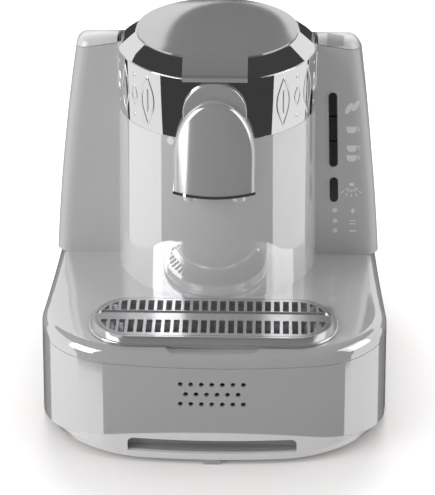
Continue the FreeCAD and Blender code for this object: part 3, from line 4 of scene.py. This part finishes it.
import bmesh
import bpy
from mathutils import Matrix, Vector


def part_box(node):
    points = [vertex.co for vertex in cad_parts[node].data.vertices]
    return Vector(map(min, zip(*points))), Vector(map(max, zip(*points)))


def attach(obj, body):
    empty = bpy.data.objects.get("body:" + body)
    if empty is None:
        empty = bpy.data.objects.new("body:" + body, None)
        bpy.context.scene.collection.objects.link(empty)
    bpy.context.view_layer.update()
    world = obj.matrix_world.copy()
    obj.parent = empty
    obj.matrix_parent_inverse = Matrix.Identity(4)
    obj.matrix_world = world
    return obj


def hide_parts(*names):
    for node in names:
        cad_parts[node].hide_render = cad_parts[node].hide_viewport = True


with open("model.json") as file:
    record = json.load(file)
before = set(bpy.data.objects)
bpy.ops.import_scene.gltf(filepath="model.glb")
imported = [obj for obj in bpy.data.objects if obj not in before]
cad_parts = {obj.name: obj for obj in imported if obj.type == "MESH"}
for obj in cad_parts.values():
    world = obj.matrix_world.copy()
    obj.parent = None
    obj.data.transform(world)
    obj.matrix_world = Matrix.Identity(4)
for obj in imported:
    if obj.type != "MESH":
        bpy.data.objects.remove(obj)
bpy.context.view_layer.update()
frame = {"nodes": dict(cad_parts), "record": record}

MM = 0.001

# Camera: where the photograph was taken from, in metres and degrees
CAMERA_PLACE = Vector((0.03747, -1.42491, 0.82986))
CAMERA_DOWN = 27.353
CAMERA_TURN = 1.5
CAMERA_REACH = 50
FOCAL_PIXELS = 2254.5
LONG_SIDE_PIXELS = 495
SENSOR = 36.0

# Column, ring, bevel and wall
COLUMN_Y = 6.0 * MM
RING_RADIUS = 68.0 * MM
RING_BORE = 64.0 * MM
RING_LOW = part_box("ring_collar")[0][2]
RING_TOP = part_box("ring_collar")[1][2]
BEVEL_RADIUS = 55.3 * MM
BEVEL_BORE = 51.0 * MM
BEVEL_THICK = 2.6 * MM
BEVEL_STEP = 0.3 * MM
BEVEL_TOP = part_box("ring_bevel")[1][2]
WALL_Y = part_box("right_side_cover")[0][1]

# Turned pieces: how finely they are cut, and how round their edges are
TURNS = 256
EDGE_RADIUS = 0.5 * MM
EDGE_STEPS = 6
EDGE_SHARE = 0.4

# Shading of the frame's nodes
WELD_REACH = 0.002 * MM
SHARP_ANGLE = 28

# Sizes of the mottling and of the uneven gloss that every finish has
PATCH_SIZE = 18.0
PATCH_DETAIL = 4.0
WEAR_SIZE = 46.0
WEAR_DETAIL = 5.0
GRAIN_DETAIL = 2.0
GLASS_INDEX = 1.49

# Ornament: leaves and dots in a raised line
BAND_MARGIN = 4.5 * MM
ORNAMENT_LOW = RING_LOW + BAND_MARGIN
ORNAMENT_HIGH = RING_TOP - BAND_MARGIN
ORNAMENT_MIDDLE = (ORNAMENT_LOW + ORNAMENT_HIGH) / 2
LINE_WIDTH = 1.7 * MM
LINE_HEIGHT = 0.28 * MM
LINE_SECTION = ((-0.5, -0.05), (-0.42, 0.55), (-0.2, 0.95), (0.0, 1.0), (0.2, 0.95), (0.42, 0.55),
                (0.5, -0.05))
TAPER_START = 0.35
TAPER_RATE = 4
LEAF_WIDTH = 11.0 * MM
LEAF_PITCH = 23.0
LEAF_COUNT = 13
LEAF_STEPS = 26
LEAF_POINT = 1.15
VEIN_MARGIN = 9 * MM
VEIN_STEPS = 16
SMALL_LEAF_WIDTH = 5.5 * MM
SMALL_LEAF_REACH = 7 * MM
SMALL_LINE_SHARE = 0.8
DOT_RADIUS = 1.5 * MM
DOT_MARGIN = 3 * MM
DOT_TURNS = 16
DOT_RINGS = ((1.0, -0.05), (0.9, 0.5), (0.6, 0.9))

# Signs beside the buttons: places and sizes in millimetres, angles in degrees
SIGN_X = 93.2
SIGN_LIFT = 0.05 * MM
BEAN_POINTS = 28
BEANS = ((-2.2, 199.0), (2.4, 201.0))
BEAN_LENGTH = 9.5
BEAN_WIDTH = 3.6
BEAN_LEAN = 62
CUP_WIDTH = 8.0
CUP_STEPS = 8
CUP_FOOT = 0.42
CUP_SWELL = 0.5
CUP_SHOULDER = 0.35
CUP_DEPTH = 0.85
CUP_ROUND = 1.3
ONE_CUP_Z = 182.6
ONE_CUP_HEIGHT = 5.0
TWO_CUPS_Z = (168.4, 160.9)
TWO_CUPS_X = SIGN_X + 0.6
TWO_CUPS_HEIGHT = 4.8
HANDLE_SIZE = 2.0
HANDLE_OUT = 3.8
HANDLE_UP = 0.6
HANDLE_SWEEP = 160
HANDLE_STEPS = 12
RINSE_X = SIGN_X + 1.2
RINSE_Z = 140.2
RINSE_HEAD = (3.2, 2.4)
RINSE_HEAD_UP = 0.4
RAY_COUNT = 5
RAY_FAN = 24
RAY_STEPS = (4.6, 8.4)
RAY_SIZE = (2.2, 0.9)
DROP_PLACE = (SIGN_X + 2.6, 119.8)
DROP_SIZE = (4.0, 2.6)
TANK_SIGN_X = SIGN_X + 2.8
TANK_SIGN_Z = (112.0, 109.6)
TANK_BAR = (4.2, 0.9)
TRAY_SIGN_PLACE = (SIGN_X + 3.0, 104.0)
TRAY_BAR = (4.6, 1.2)

# Floor: its colours, and the shade where the object stands close over it
FLOOR_REACH = 4
FLOOR_ROUGH = 0.9
FLOOR_MOTTLE = 3.0
FLOOR_DARK = (0.80, 0.79, 0.785)
FLOOR_LIGHT = (0.83, 0.82, 0.815)
FLOOR_LIFT = 0.5
SHADE_REACH = 0.11
SHADE_POWER = 1.6
SHADE_COLOUR = (0.06, 0.035, 0.025)

# Light: the world's level, and where the dark cards stand that the glossy surfaces mirror
AMBIENT = 0.4
FRONT_LEVEL = 0.045
REAR_LEVEL = 0.05
CARD_DISTANCE = 2.6
CARD_SIDES = 24
CARD_TOP = 2.2
CARD_STEP = -1.27
CARD_FOOT = -2.6
REAR_CARD_TOP = 0.6
ARCH_LOW = 0.61
ARCH_RISE = 6.7
ARCH_HALF = 0.54
ARCH_TOP = 3.2
OVERHEAD_REACH = 2.2
OVERHEAD_BACK = 1.9
OVERHEAD_HEIGHT = 1.9


# Node building

def new_material(name):
    material = bpy.data.materials.new(name)
    material.use_nodes = True
    tree = material.node_tree
    shader = tree.nodes["Principled BSDF"]
    return material, tree, shader


def add(tree, kind, **values):
    """Adds a node, sets its own properties and, for names that are sockets, its inputs"""
    node = tree.nodes.new(kind)
    for name, value in values.items():
        if hasattr(node, name):
            setattr(node, name, value)
        else:
            node.inputs[name.replace("_", " ")].default_value = value
    return node


def place(tree, scale=(1, 1, 1)):
    """Object coordinates, stretched by scale"""
    coordinates = add(tree, "ShaderNodeTexCoord")
    mapping = add(tree, "ShaderNodeMapping")
    mapping.inputs["Scale"].default_value = scale
    tree.links.new(coordinates.outputs["Object"], mapping.inputs["Vector"])
    return mapping.outputs["Vector"]


def noise(tree, size, detail=3.0, stretch=(1, 1, 1)):
    node = add(tree, "ShaderNodeTexNoise", Scale=size, Detail=detail)
    tree.links.new(place(tree, stretch), node.inputs["Vector"])
    return node.outputs["Fac"]


def spread(tree, source, low, high, start=0.3, end=0.7):
    """Maps a noise value onto the span from low to high"""
    node = add(tree, "ShaderNodeMapRange")
    node.inputs["From Min"].default_value = start
    node.inputs["From Max"].default_value = end
    node.inputs["To Min"].default_value = low
    node.inputs["To Max"].default_value = high
    tree.links.new(source, node.inputs["Value"])
    return node.outputs["Result"]


def tint(tree, source, dark, light):
    node = add(tree, "ShaderNodeMix", data_type="RGBA")
    node.inputs["A"].default_value = (*dark, 1)
    node.inputs["B"].default_value = (*light, 1)
    tree.links.new(source, node.inputs["Factor"])
    return node.outputs["Result"]


def bump(tree, shader, source, distance):
    node = add(tree, "ShaderNodeBump", Strength=1.0, Distance=distance)
    tree.links.new(source, node.inputs["Height"])
    tree.links.new(node.outputs["Normal"], shader.inputs["Normal"])


def shades(colour, amount):
    dark = tuple(c * (1 - amount) for c in colour)
    light = tuple(min(1.0, c * (1 + amount)) for c in colour)
    return dark, light


def plain(name, colour, rough, metallic=0.0, coat=0.0, vary=0.03, grain=0.02 * MM, grain_size=900.0,
          smudge=0.25, brushed=None, coat_rough=0.03):
    """A moulded or finished surface: mottled colour, uneven gloss and a fine grain"""
    material, tree, shader = new_material(name)
    dark, light = shades(colour, vary)
    patches = noise(tree, PATCH_SIZE, PATCH_DETAIL)
    tree.links.new(tint(tree, spread(tree, patches, 0, 1), dark, light), shader.inputs["Base Color"])
    wear = noise(tree, WEAR_SIZE, WEAR_DETAIL)
    uneven = spread(tree, wear, rough * (1 - smudge), rough * (1 + smudge))
    tree.links.new(uneven, shader.inputs["Roughness"])
    fine = noise(tree, grain_size, GRAIN_DETAIL, brushed or (1, 1, 1))
    bump(tree, shader, fine, grain)
    shader.inputs["Metallic"].default_value = metallic
    shader.inputs["Coat Weight"].default_value = coat
    shader.inputs["Coat Roughness"].default_value = coat_rough
    return material


def glassy(name, colour, rough, transmission):
    material = plain(name, colour, rough, grain=0.01 * MM)
    shader = material.node_tree.nodes["Principled BSDF"]
    shader.inputs["Transmission Weight"].default_value = transmission
    shader.inputs["IOR"].default_value = GLASS_INDEX
    return material


MATERIALS = {
    "white_plastic": plain("pearl_white", (0.80, 0.80, 0.81), 0.07, metallic=0.42, coat=0.5, vary=0.01,
                           grain=0.0015 * MM, grain_size=120.0, coat_rough=0.02),
    "column_gloss": plain("column_gloss", (0.90, 0.90, 0.91), 0.05, metallic=0.35, coat=0.6, vary=0.008,
                          grain=0.001 * MM, grain_size=100.0, coat_rough=0.015),
    "silver_plastic": plain("glossy_silver", (0.66, 0.66, 0.67), 0.09, metallic=0.72, vary=0.015,
                            grain=0.0006 * MM, grain_size=500.0, smudge=0.1),
    # the walls' grey is painted shade: a darker copy of the white body's gloss on the side and rear covers
    "wall_painted_shade": plain("wall_painted_shade", (0.62, 0.62, 0.63), 0.34, metallic=0.08, coat=0.2, vary=0.006,
                        grain=0.001 * MM, grain_size=150.0, smudge=0.05, coat_rough=0.2),
    "cap_gloss": plain("cap_gloss", (0.84, 0.84, 0.85), 0.28, metallic=0.08, coat=0.25, vary=0.005,
                       grain=0.001 * MM, grain_size=150.0, smudge=0.04, coat_rough=0.12),
    # the base pan's white, lightened beyond the body's as a painted reflection of the bright surround
    "white_lip_painted_reflection": plain("white_lip_painted_reflection", (0.90, 0.90, 0.905), 0.2, coat=0.3, vary=0.006, grain=0.001 * MM,
                       grain_size=150.0, smudge=0.05, coat_rough=0.06),
    "spout_silver": plain("spout_silver", (0.72, 0.72, 0.73), 0.14, metallic=0.55, vary=0.015,
                          grain=0.001 * MM, grain_size=1500.0, smudge=0.1),
    # dark grey as painted shade on the lid's tab pad, standing for the shadow under the lid's tab
    "tab_painted_shade": plain("tab_painted_shade", (0.36, 0.36, 0.365), 0.42, metallic=0.1, vary=0.01, grain=0.002 * MM,
                       grain_size=700.0),
    "frame_silver": plain("frame_silver", (0.86, 0.86, 0.87), 0.25, metallic=0.3, vary=0.01),
    "lens_milk": plain("lens_milk", (0.90, 0.91, 0.92), 0.15, coat=0.8, vary=0.01),
    "chrome": plain("chrome", (0.90, 0.90, 0.91), 0.03, metallic=1.0, vary=0.01, grain=0.0006 * MM,
                    grain_size=90.0),
    "grey_plastic": plain("grey_plastic", (0.46, 0.46, 0.465), 0.35, vary=0.02, grain=0.01 * MM,
                          grain_size=1200.0),
    "black_plastic": plain("black_plastic", (0.014, 0.014, 0.015), 0.32, grain=0.02 * MM, grain_size=1800.0),
    "button_dark": plain("button_dark", (0.028, 0.028, 0.031), 0.22, coat=0.3, grain=0.006 * MM,
                         grain_size=1500.0),
    "steel": plain("drawn_steel", (0.55, 0.55, 0.56), 0.28, metallic=1.0, grain=0.01 * MM, grain_size=500.0,
                   brushed=(1, 1, 12)),
    "tray_steel": plain("tray_silver", (0.74, 0.74, 0.75), 0.12, metallic=0.7, grain=0.002 * MM,
                        grain_size=1200.0),
    "grid_steel": plain("grid_steel", (0.72, 0.72, 0.73), 0.2, metallic=0.85, grain=0.006 * MM,
                        grain_size=500.0, brushed=(12, 1, 1)),
    "aluminium": plain("cast_aluminium", (0.6, 0.6, 0.61), 0.4, metallic=1.0, grain=0.03 * MM),
    "gear_brass": plain("machined_brass", (0.72, 0.52, 0.24), 0.25, metallic=1.0),
    "rubber": plain("black_rubber", (0.02, 0.02, 0.021), 0.6, grain=0.03 * MM, grain_size=1400.0),
    "silicone": plain("red_silicone", (0.5, 0.14, 0.08), 0.45),
    "silicone_hose": plain("milky_silicone", (0.72, 0.72, 0.69), 0.35),
    "board_green": plain("solder_mask", (0.03, 0.18, 0.07), 0.3, coat=0.3),
    "tank_clear": glassy("smoke_clear", (0.8, 0.83, 0.85), 0.08, 0.9),
    "print_white": plain("printed_white", (0.93, 0.93, 0.94), 0.4, vary=0.02),
}

# Pieces whose finish differs from that of their slot, some of them with painted shade or painted reflection
OWN_FINISH = {
    "left_side_cover": "wall_painted_shade", "right_side_cover": "wall_painted_shade", "rear_cover": "wall_painted_shade",
    "tank_lid": "cap_gloss", "base_pan": "white_lip_painted_reflection", "spout_cover": "spout_silver",
    "button_bezel": "frame_silver", "sensor_lens": "lens_milk", "status_lenses": "lens_milk",
    "spout_collar": "spout_silver", "spout_nozzles": "frame_silver", "lid_tab_pad": "tab_painted_shade",
}


# The frame's own nodes

def finish_node(name, slot):
    """Gives a node its material, and smooth shading between its sharp edges"""
    node = frame["nodes"][name]
    node.data.materials.clear()
    node.data.materials.append(MATERIALS[slot])
    for polygon in node.data.polygons:
        polygon.material_index = 0
        polygon.use_smooth = True
    if "custom_normal" in node.data.attributes:
        node.data.attributes.remove(node.data.attributes["custom_normal"])
    weld = node.modifiers.new("weld", "WELD")
    weld.merge_threshold = WELD_REACH
    split = node.modifiers.new("split", "EDGE_SPLIT")
    split.split_angle = math.radians(SHARP_ANGLE)


for part in frame["record"]["subparts"]:
    finish_node(part["node"], OWN_FINISH.get(part["node"], part["material_slot"]))


def link(name, mesh, material):
    """Turns a bmesh into an object of the scene, smooth, with its material"""
    data = bpy.data.meshes.new(name)
    bmesh.ops.recalc_face_normals(mesh, faces=mesh.faces)
    mesh.to_mesh(data)
    mesh.free()
    for polygon in data.polygons:
        polygon.use_smooth = True
    data.materials.append(material)
    piece = bpy.data.objects.new(name, data)
    bpy.context.scene.collection.objects.link(piece)
    return piece


# Turned pieces, remade with rounded edges

def rounded(profile, radius):
    """A closed profile of radius and height points with each corner turned into a small arc"""
    points = []
    count = len(profile)
    for k, corner in enumerate(profile):
        corner = Vector(corner)
        before = Vector(profile[k - 1]) - corner
        after = Vector(profile[(k + 1) % count]) - corner
        reach = min(radius, before.length * EDGE_SHARE, after.length * EDGE_SHARE)
        a = corner + before.normalized() * reach
        b = corner + after.normalized() * reach
        for step in range(EDGE_STEPS + 1):
            t = step / EDGE_STEPS
            points.append(a * (1 - t) ** 2 + corner * 2 * t * (1 - t) + b * t ** 2)
    return points


def turned(name, profile, slot):
    """Remakes a turned node of the frame round the column's axis, from its profile"""
    mesh = bmesh.new()
    outline = rounded(profile, EDGE_RADIUS)
    rows = []
    for k in range(TURNS):
        a = 2 * math.pi * k / TURNS
        rows.append([mesh.verts.new((r * math.sin(a), COLUMN_Y + r * math.cos(a), z)) for r, z in outline])
    for k in range(TURNS):
        here, there = rows[k], rows[(k + 1) % TURNS]
        for j in range(len(outline)):
            after = (j + 1) % len(outline)
            mesh.faces.new((here[j], here[after], there[after], there[j]))
    piece = link(name + "_fine", mesh, MATERIALS[slot])
    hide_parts(name)
    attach(piece, "root")


def make_ring():
    turned("ring_collar", [
        (RING_BORE, RING_LOW),
        (RING_RADIUS, RING_LOW),
        (RING_RADIUS, RING_TOP),
        (RING_BORE, RING_TOP),
    ], "chrome")
    turned("ring_bevel", [
        (BEVEL_BORE, BEVEL_TOP - BEVEL_THICK),
        (BEVEL_RADIUS, BEVEL_TOP - BEVEL_THICK),
        (RING_BORE, RING_TOP),
        (RING_RADIUS - BEVEL_STEP, RING_TOP),
        (BEVEL_RADIUS + BEVEL_STEP, BEVEL_TOP),
        (BEVEL_BORE, BEVEL_TOP),
    ], "chrome")


make_ring()


# Ornament on the ring

def on_ring(u, z, lift):
    """The point at u along the ring from the rear, to the left or right, lifted off its surface"""
    angle = u / RING_RADIUS
    r = RING_RADIUS + lift
    return Vector((r * math.sin(angle), COLUMN_Y + r * math.cos(angle), z))


def ridge(mesh, path, width, closed=False):
    """A rounded raised line along a path of u and z on the ring, its ends narrowed if it is open"""
    count = len(path)
    rows = []
    for k, (u, z) in enumerate(path):
        before = path[k - 1] if k or closed else path[0]
        after = path[(k + 1) % count] if k + 1 < count or closed else path[-1]
        along = Vector((after[0] - before[0], after[1] - before[1])).normalized()
        side = Vector((-along.y, along.x))
        from_end = min(k, count - 1 - k) / count
        taper = 1.0 if closed else min(1.0, TAPER_START + TAPER_RATE * from_end)
        row = []
        for across, lift in LINE_SECTION:
            shift = side * across * width * taper
            row.append(mesh.verts.new(on_ring(u + shift.x, z + shift.y, lift * LINE_HEIGHT)))
        rows.append(row)
    pairs = list(zip(rows, rows[1:]))
    if closed:
        pairs.append((rows[-1], rows[0]))
    for a, b in pairs:
        for k in range(len(LINE_SECTION) - 1):
            mesh.faces.new((a[k], a[k + 1], b[k + 1], b[k]))


def leaf_path(u, low, high, width):
    """A pointed oval, all the way round"""
    path = []
    for k in range(2 * LEAF_STEPS):
        t = k / LEAF_STEPS
        side = 1 if t < 1 else -1
        along = t if t < 1 else 2 - t
        bulge = math.sin(math.pi * along) ** LEAF_POINT
        path.append((u + side * width / 2 * bulge, low + (high - low) * along))
    return path


def vein_path(u, low, high):
    """A straight upright line"""
    return [(u, low + (high - low) * k / VEIN_STEPS) for k in range(VEIN_STEPS + 1)]


def dot(mesh, u, z, radius):
    """A small dome on the ring"""
    rows = []
    for share, lift in DOT_RINGS:
        row = []
        for k in range(DOT_TURNS):
            a = 2 * math.pi * k / DOT_TURNS
            dot_u = u + radius * share * math.cos(a)
            dot_z = z + radius * share * math.sin(a)
            row.append(mesh.verts.new(on_ring(dot_u, dot_z, lift * LINE_HEIGHT)))
        rows.append(row)
    for a, b in zip(rows, rows[1:]):
        for k in range(DOT_TURNS):
            after = (k + 1) % DOT_TURNS
            mesh.faces.new((a[k], a[after], b[after], b[k]))
    mesh.faces.new(rows[-1])


def ring_ornament():
    """Tall leaves with a vein, and between each two a small leaf with a dot above and below it"""
    mesh = bmesh.new()
    half_pitch = math.radians(LEAF_PITCH) * RING_RADIUS / 2
    small_low = ORNAMENT_MIDDLE - SMALL_LEAF_REACH
    small_high = ORNAMENT_MIDDLE + SMALL_LEAF_REACH
    for k in range(LEAF_COUNT):
        u = math.radians((k - (LEAF_COUNT - 1) / 2) * LEAF_PITCH) * RING_RADIUS
        ridge(mesh, leaf_path(u, ORNAMENT_LOW, ORNAMENT_HIGH, LEAF_WIDTH), LINE_WIDTH, closed=True)
        ridge(mesh, vein_path(u, ORNAMENT_LOW + VEIN_MARGIN, ORNAMENT_HIGH - VEIN_MARGIN), LINE_WIDTH)
        if k + 1 < LEAF_COUNT:
            between = u + half_pitch
            small_leaf = leaf_path(between, small_low, small_high, SMALL_LEAF_WIDTH)
            ridge(mesh, small_leaf, LINE_WIDTH * SMALL_LINE_SHARE, closed=True)
            for z in (ORNAMENT_LOW + DOT_MARGIN, ORNAMENT_HIGH - DOT_MARGIN):
                dot(mesh, between, z, DOT_RADIUS)
    piece = link("ring_ornament", mesh, MATERIALS["chrome"])
    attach(piece, "root")


ring_ornament()


# Signs printed on the wall beside the buttons

def sign(name, outlines):
    """Thin printed shapes on the housing's front wall, each an outline of x and z points in millimetres"""
    mesh = bmesh.new()
    for outline in outlines:
        front = [mesh.verts.new((x * MM, WALL_Y - SIGN_LIFT, z * MM)) for x, z in outline]
        back = [mesh.verts.new((x * MM, WALL_Y + SIGN_LIFT, z * MM)) for x, z in outline]
        mesh.faces.new(front)
        count = len(outline)
        for k in range(count):
            mesh.faces.new((front[k], front[(k + 1) % count], back[(k + 1) % count], back[k]))
    piece = link(name, mesh, MATERIALS["print_white"])
    for polygon in piece.data.polygons:
        polygon.use_smooth = False
    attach(piece, "root")


def bean_outline(x, z, length, width, lean):
    """An oval whose long axis leans"""
    points = []
    turn = math.radians(lean)
    for k in range(BEAN_POINTS):
        a = 2 * math.pi * k / BEAN_POINTS
        along = length / 2 * math.cos(a)
        across = width / 2 * math.sin(a)
        points.append((x + along * math.cos(turn) - across * math.sin(turn),
                       z + along * math.sin(turn) + across * math.cos(turn)))
    return points


def cup_outline(x, z, width, height):
    """A small cup from the side, its bowl rounded in towards the foot"""
    half = width / 2
    right, left = [], []
    for k in range(CUP_STEPS + 1):
        a = math.pi / 2 * k / CUP_STEPS
        across = half * (CUP_FOOT + CUP_SWELL * math.cos(a))
        up = height * (CUP_SHOULDER - CUP_DEPTH * math.sin(a) ** CUP_ROUND)
        right.append((x + across, z + up))
        left.append((x - across, z + up))
    rim = [(x - half, z + height / 2), (x + half, z + height / 2)]
    return rim + right + left[::-1]


def handle_outline(x, z, size):
    """The cup's handle, an open loop on its right"""
    outer, inner = [], []
    for k in range(HANDLE_STEPS + 1):
        a = math.radians(-HANDLE_SWEEP / 2 + HANDLE_SWEEP * k / HANDLE_STEPS)
        outer.append((x + size * math.cos(a), z + size * 0.8 * math.sin(a)))
        inner.append((x + size * 0.55 * math.cos(a), z + size * 0.45 * math.sin(a)))
    return outer + inner[::-1]


def bar_outline(x, z, length, width, lean):
    """A straight bar that leans"""
    turn = math.radians(lean)
    ax, az = math.cos(turn) * length / 2, math.sin(turn) * length / 2
    bx, bz = -math.sin(turn) * width / 2, math.cos(turn) * width / 2
    return [(x - ax - bx, z - az - bz), (x + ax - bx, z + az - bz), (x + ax + bx, z + az + bz),
            (x - ax + bx, z - az + bz)]


def cup_sign(x, z, height):
    cup = cup_outline(x, z, CUP_WIDTH, height)
    return [cup, handle_outline(x + HANDLE_OUT, z + HANDLE_UP, HANDLE_SIZE)]


def rinse_sign():
    """A spray head with rays of two dashes under it"""
    outlines = [bar_outline(RINSE_X, RINSE_Z + RINSE_HEAD_UP, *RINSE_HEAD, 0)]
    for k in range(RAY_COUNT):
        lean = -90 + (k - (RAY_COUNT - 1) // 2) * RAY_FAN
        reach = math.radians(lean)
        for step in RAY_STEPS:
            x = RINSE_X + step * math.cos(reach)
            z = RINSE_Z + step * math.sin(reach)
            outlines.append(bar_outline(x, z, *RAY_SIZE, lean))
    return outlines


def make_signs():
    sign("sign_beans", [bean_outline(SIGN_X + x, z, BEAN_LENGTH, BEAN_WIDTH, BEAN_LEAN) for x, z in BEANS])
    sign("sign_one_cup", cup_sign(SIGN_X, ONE_CUP_Z, ONE_CUP_HEIGHT))
    pair = []
    for z in TWO_CUPS_Z:
        pair += cup_sign(TWO_CUPS_X, z, TWO_CUPS_HEIGHT)
    sign("sign_two_cups", pair)
    sign("sign_rinse", rinse_sign())
    sign("sign_drop", [bean_outline(*DROP_PLACE, *DROP_SIZE, 90)])
    sign("sign_tank", [bar_outline(TANK_SIGN_X, z, *TANK_BAR, 0) for z in TANK_SIGN_Z])
    sign("sign_tray", [bar_outline(*TRAY_SIGN_PLACE, *TRAY_BAR, 0)])


make_signs()


# Stage

def stage_sheet(name, corners, faces, material):
    mesh = bpy.data.meshes.new(name)
    mesh.from_pydata(corners, [], faces)
    mesh.materials.append(material)
    sheet = bpy.data.objects.new(name, mesh)
    bpy.context.scene.collection.objects.link(sheet)
    return sheet


def one_face(corners):
    return [tuple(range(len(corners)))]


def floor_material():
    """Pale paper, lifted to white for the camera except close under the object"""
    material, tree, shader = new_material("floor_paper")
    shader.inputs["Roughness"].default_value = FLOOR_ROUGH
    mottled = tint(tree, noise(tree, FLOOR_MOTTLE), FLOOR_DARK, FLOOR_LIGHT)
    tree.links.new(mottled, shader.inputs["Base Color"])
    rays = add(tree, "ShaderNodeLightPath")
    lift = add(tree, "ShaderNodeMath", operation="MULTIPLY")
    lift.inputs[1].default_value = FLOOR_LIFT
    tree.links.new(rays.outputs["Is Camera Ray"], lift.inputs[0])
    # painted shadow: the lift for the camera turns brown where the object stands close over the floor
    shut = add(tree, "ShaderNodeAmbientOcclusion", Distance=SHADE_REACH)
    open_air = add(tree, "ShaderNodeMath", operation="POWER")
    open_air.inputs[1].default_value = SHADE_POWER
    tree.links.new(shut.outputs["AO"], open_air.inputs[0])
    tree.links.new(tint(tree, open_air.outputs[0], SHADE_COLOUR, (1, 1, 1)), shader.inputs["Emission Color"])
    tree.links.new(lift.outputs[0], shader.inputs["Emission Strength"])
    return material


def make_floor():
    far = FLOOR_REACH
    corners = [(-far, -far, 0), (far, -far, 0), (far, far, 0), (-far, far, 0)]
    floor = stage_sheet("floor", corners, one_face(corners), floor_material())
    floor.visible_glossy = False


# Dark cards that only mirror reflections see

def card_material(name, level):
    """An even dim glow"""
    material = bpy.data.materials.new(name)
    material.use_nodes = True
    tree = material.node_tree
    tree.nodes.clear()
    glow = add(tree, "ShaderNodeEmission")
    glow.inputs["Color"].default_value = (level, level, level, 1)
    out = add(tree, "ShaderNodeOutputMaterial")
    tree.links.new(glow.outputs[0], out.inputs["Surface"])
    return material


def hang_card(name, corners, faces, level):
    sheet = stage_sheet(name, corners, faces, card_material(name, level))
    sheet.visible_camera = False
    sheet.visible_diffuse = False
    sheet.visible_shadow = False
    sheet.visible_transmission = False


def card(name, start, end, low, high, level):
    """An upright curved card round the object, between two azimuths in degrees: 0 is front, 90 right"""
    corners = []
    faces = []
    for k in range(CARD_SIDES + 1):
        a = math.radians(start + (end - start) * k / CARD_SIDES)
        x, y = CARD_DISTANCE * math.sin(a), -CARD_DISTANCE * math.cos(a)
        corners += [(x, y, low), (x, y, high)]
        if k:
            faces.append((2 * k - 2, 2 * k, 2 * k + 1, 2 * k - 1))
    hang_card(name, corners, faces, level)


def rear_card():
    """A card high up behind the object, whose lower edge is an arch that the lid mirrors"""
    corners = []
    for k in range(CARD_SIDES + 1):
        x = ARCH_HALF * (2 * k / CARD_SIDES - 1)
        corners.append((x, CARD_DISTANCE, ARCH_LOW + ARCH_RISE * x ** 2))
    corners += [(ARCH_HALF, CARD_DISTANCE, ARCH_TOP), (-ARCH_HALF, CARD_DISTANCE, ARCH_TOP)]
    hang_card("card_rear_high", corners, one_face(corners), REAR_LEVEL)


def overhead_card():
    side, back, height = OVERHEAD_REACH, OVERHEAD_BACK, OVERHEAD_HEIGHT
    corners = [(-side, -side, height), (side, -side, height), (side, back, height), (-side, back, height)]
    hang_card("card_overhead", corners, one_face(corners), REAR_LEVEL)


# Lamps, world and camera

def softbox(name, place_at, aim, width, height, power):
    """An area lamp aimed at a point, its power in watts"""
    lamp = bpy.data.lights.new(name, "AREA")
    lamp.shape = "RECTANGLE"
    lamp.size = width
    lamp.size_y = height
    lamp.energy = power
    holder = bpy.data.objects.new(name, lamp)
    holder.location = place_at
    holder.rotation_mode = "QUATERNION"
    holder.rotation_quaternion = (Vector(aim) - Vector(place_at)).to_track_quat("-Z", "Y")
    bpy.context.scene.collection.objects.link(holder)
    return holder


def make_world():
    """White to the camera, to mirrors and through glass, and dimmer as light on the object"""
    world = bpy.data.worlds.new("studio")
    bpy.context.scene.world = world
    world.use_nodes = True
    tree = world.node_tree
    tree.nodes.clear()
    rays = add(tree, "ShaderNodeLightPath")
    seen = add(tree, "ShaderNodeMath", operation="MAXIMUM")
    tree.links.new(rays.outputs["Is Camera Ray"], seen.inputs[0])
    tree.links.new(rays.outputs["Is Glossy Ray"], seen.inputs[1])
    more = add(tree, "ShaderNodeMath", operation="MAXIMUM")
    tree.links.new(seen.outputs[0], more.inputs[0])
    tree.links.new(rays.outputs["Is Transmission Ray"], more.inputs[1])
    level = add(tree, "ShaderNodeMapRange")
    level.inputs["To Min"].default_value = AMBIENT
    level.inputs["To Max"].default_value = 1.0
    tree.links.new(more.outputs[0], level.inputs["Value"])
    background = add(tree, "ShaderNodeBackground")
    tree.links.new(level.outputs[0], background.inputs["Strength"])
    out = add(tree, "ShaderNodeOutputWorld")
    tree.links.new(background.outputs[0], out.inputs["Surface"])


def make_camera():
    data = bpy.data.cameras.new("camera")
    data.sensor_width = SENSOR
    data.lens = FOCAL_PIXELS / LONG_SIDE_PIXELS * SENSOR
    data.clip_end = CAMERA_REACH
    camera = bpy.data.objects.new("camera", data)
    camera.location = CAMERA_PLACE
    camera.rotation_mode = "XYZ"
    camera.rotation_euler = (math.radians(90 - CAMERA_DOWN), 0, math.radians(CAMERA_TURN))
    bpy.context.scene.collection.objects.link(camera)
    bpy.context.scene.camera = camera


make_world()
make_floor()
card("card_front", -66, 68, CARD_STEP, CARD_TOP, FRONT_LEVEL)
card("card_front_low", -31, 60, CARD_FOOT, CARD_STEP, FRONT_LEVEL)
rear_card()
card("card_rear_left", -180, -123, CARD_FOOT, REAR_CARD_TOP, REAR_LEVEL)
card("card_rear_right", 126, 180, CARD_FOOT, REAR_CARD_TOP, REAR_LEVEL)
overhead_card()
softbox("softbox_left", (-1.5, -0.9, 0.9), (0, 0, 0.12), 1.2, 1.4, 16)
softbox("softbox_right", (1.6, -0.3, 0.9), (0, 0, 0.12), 1.2, 1.4, 7)
softbox_top = softbox("softbox_top", (0.0, 1.1, 1.5), (0, 0, 0.05), 1.0, 0.7, 20)
softbox_top.visible_glossy = False
make_camera()
bpy.context.scene.view_settings.view_transform = "Standard"
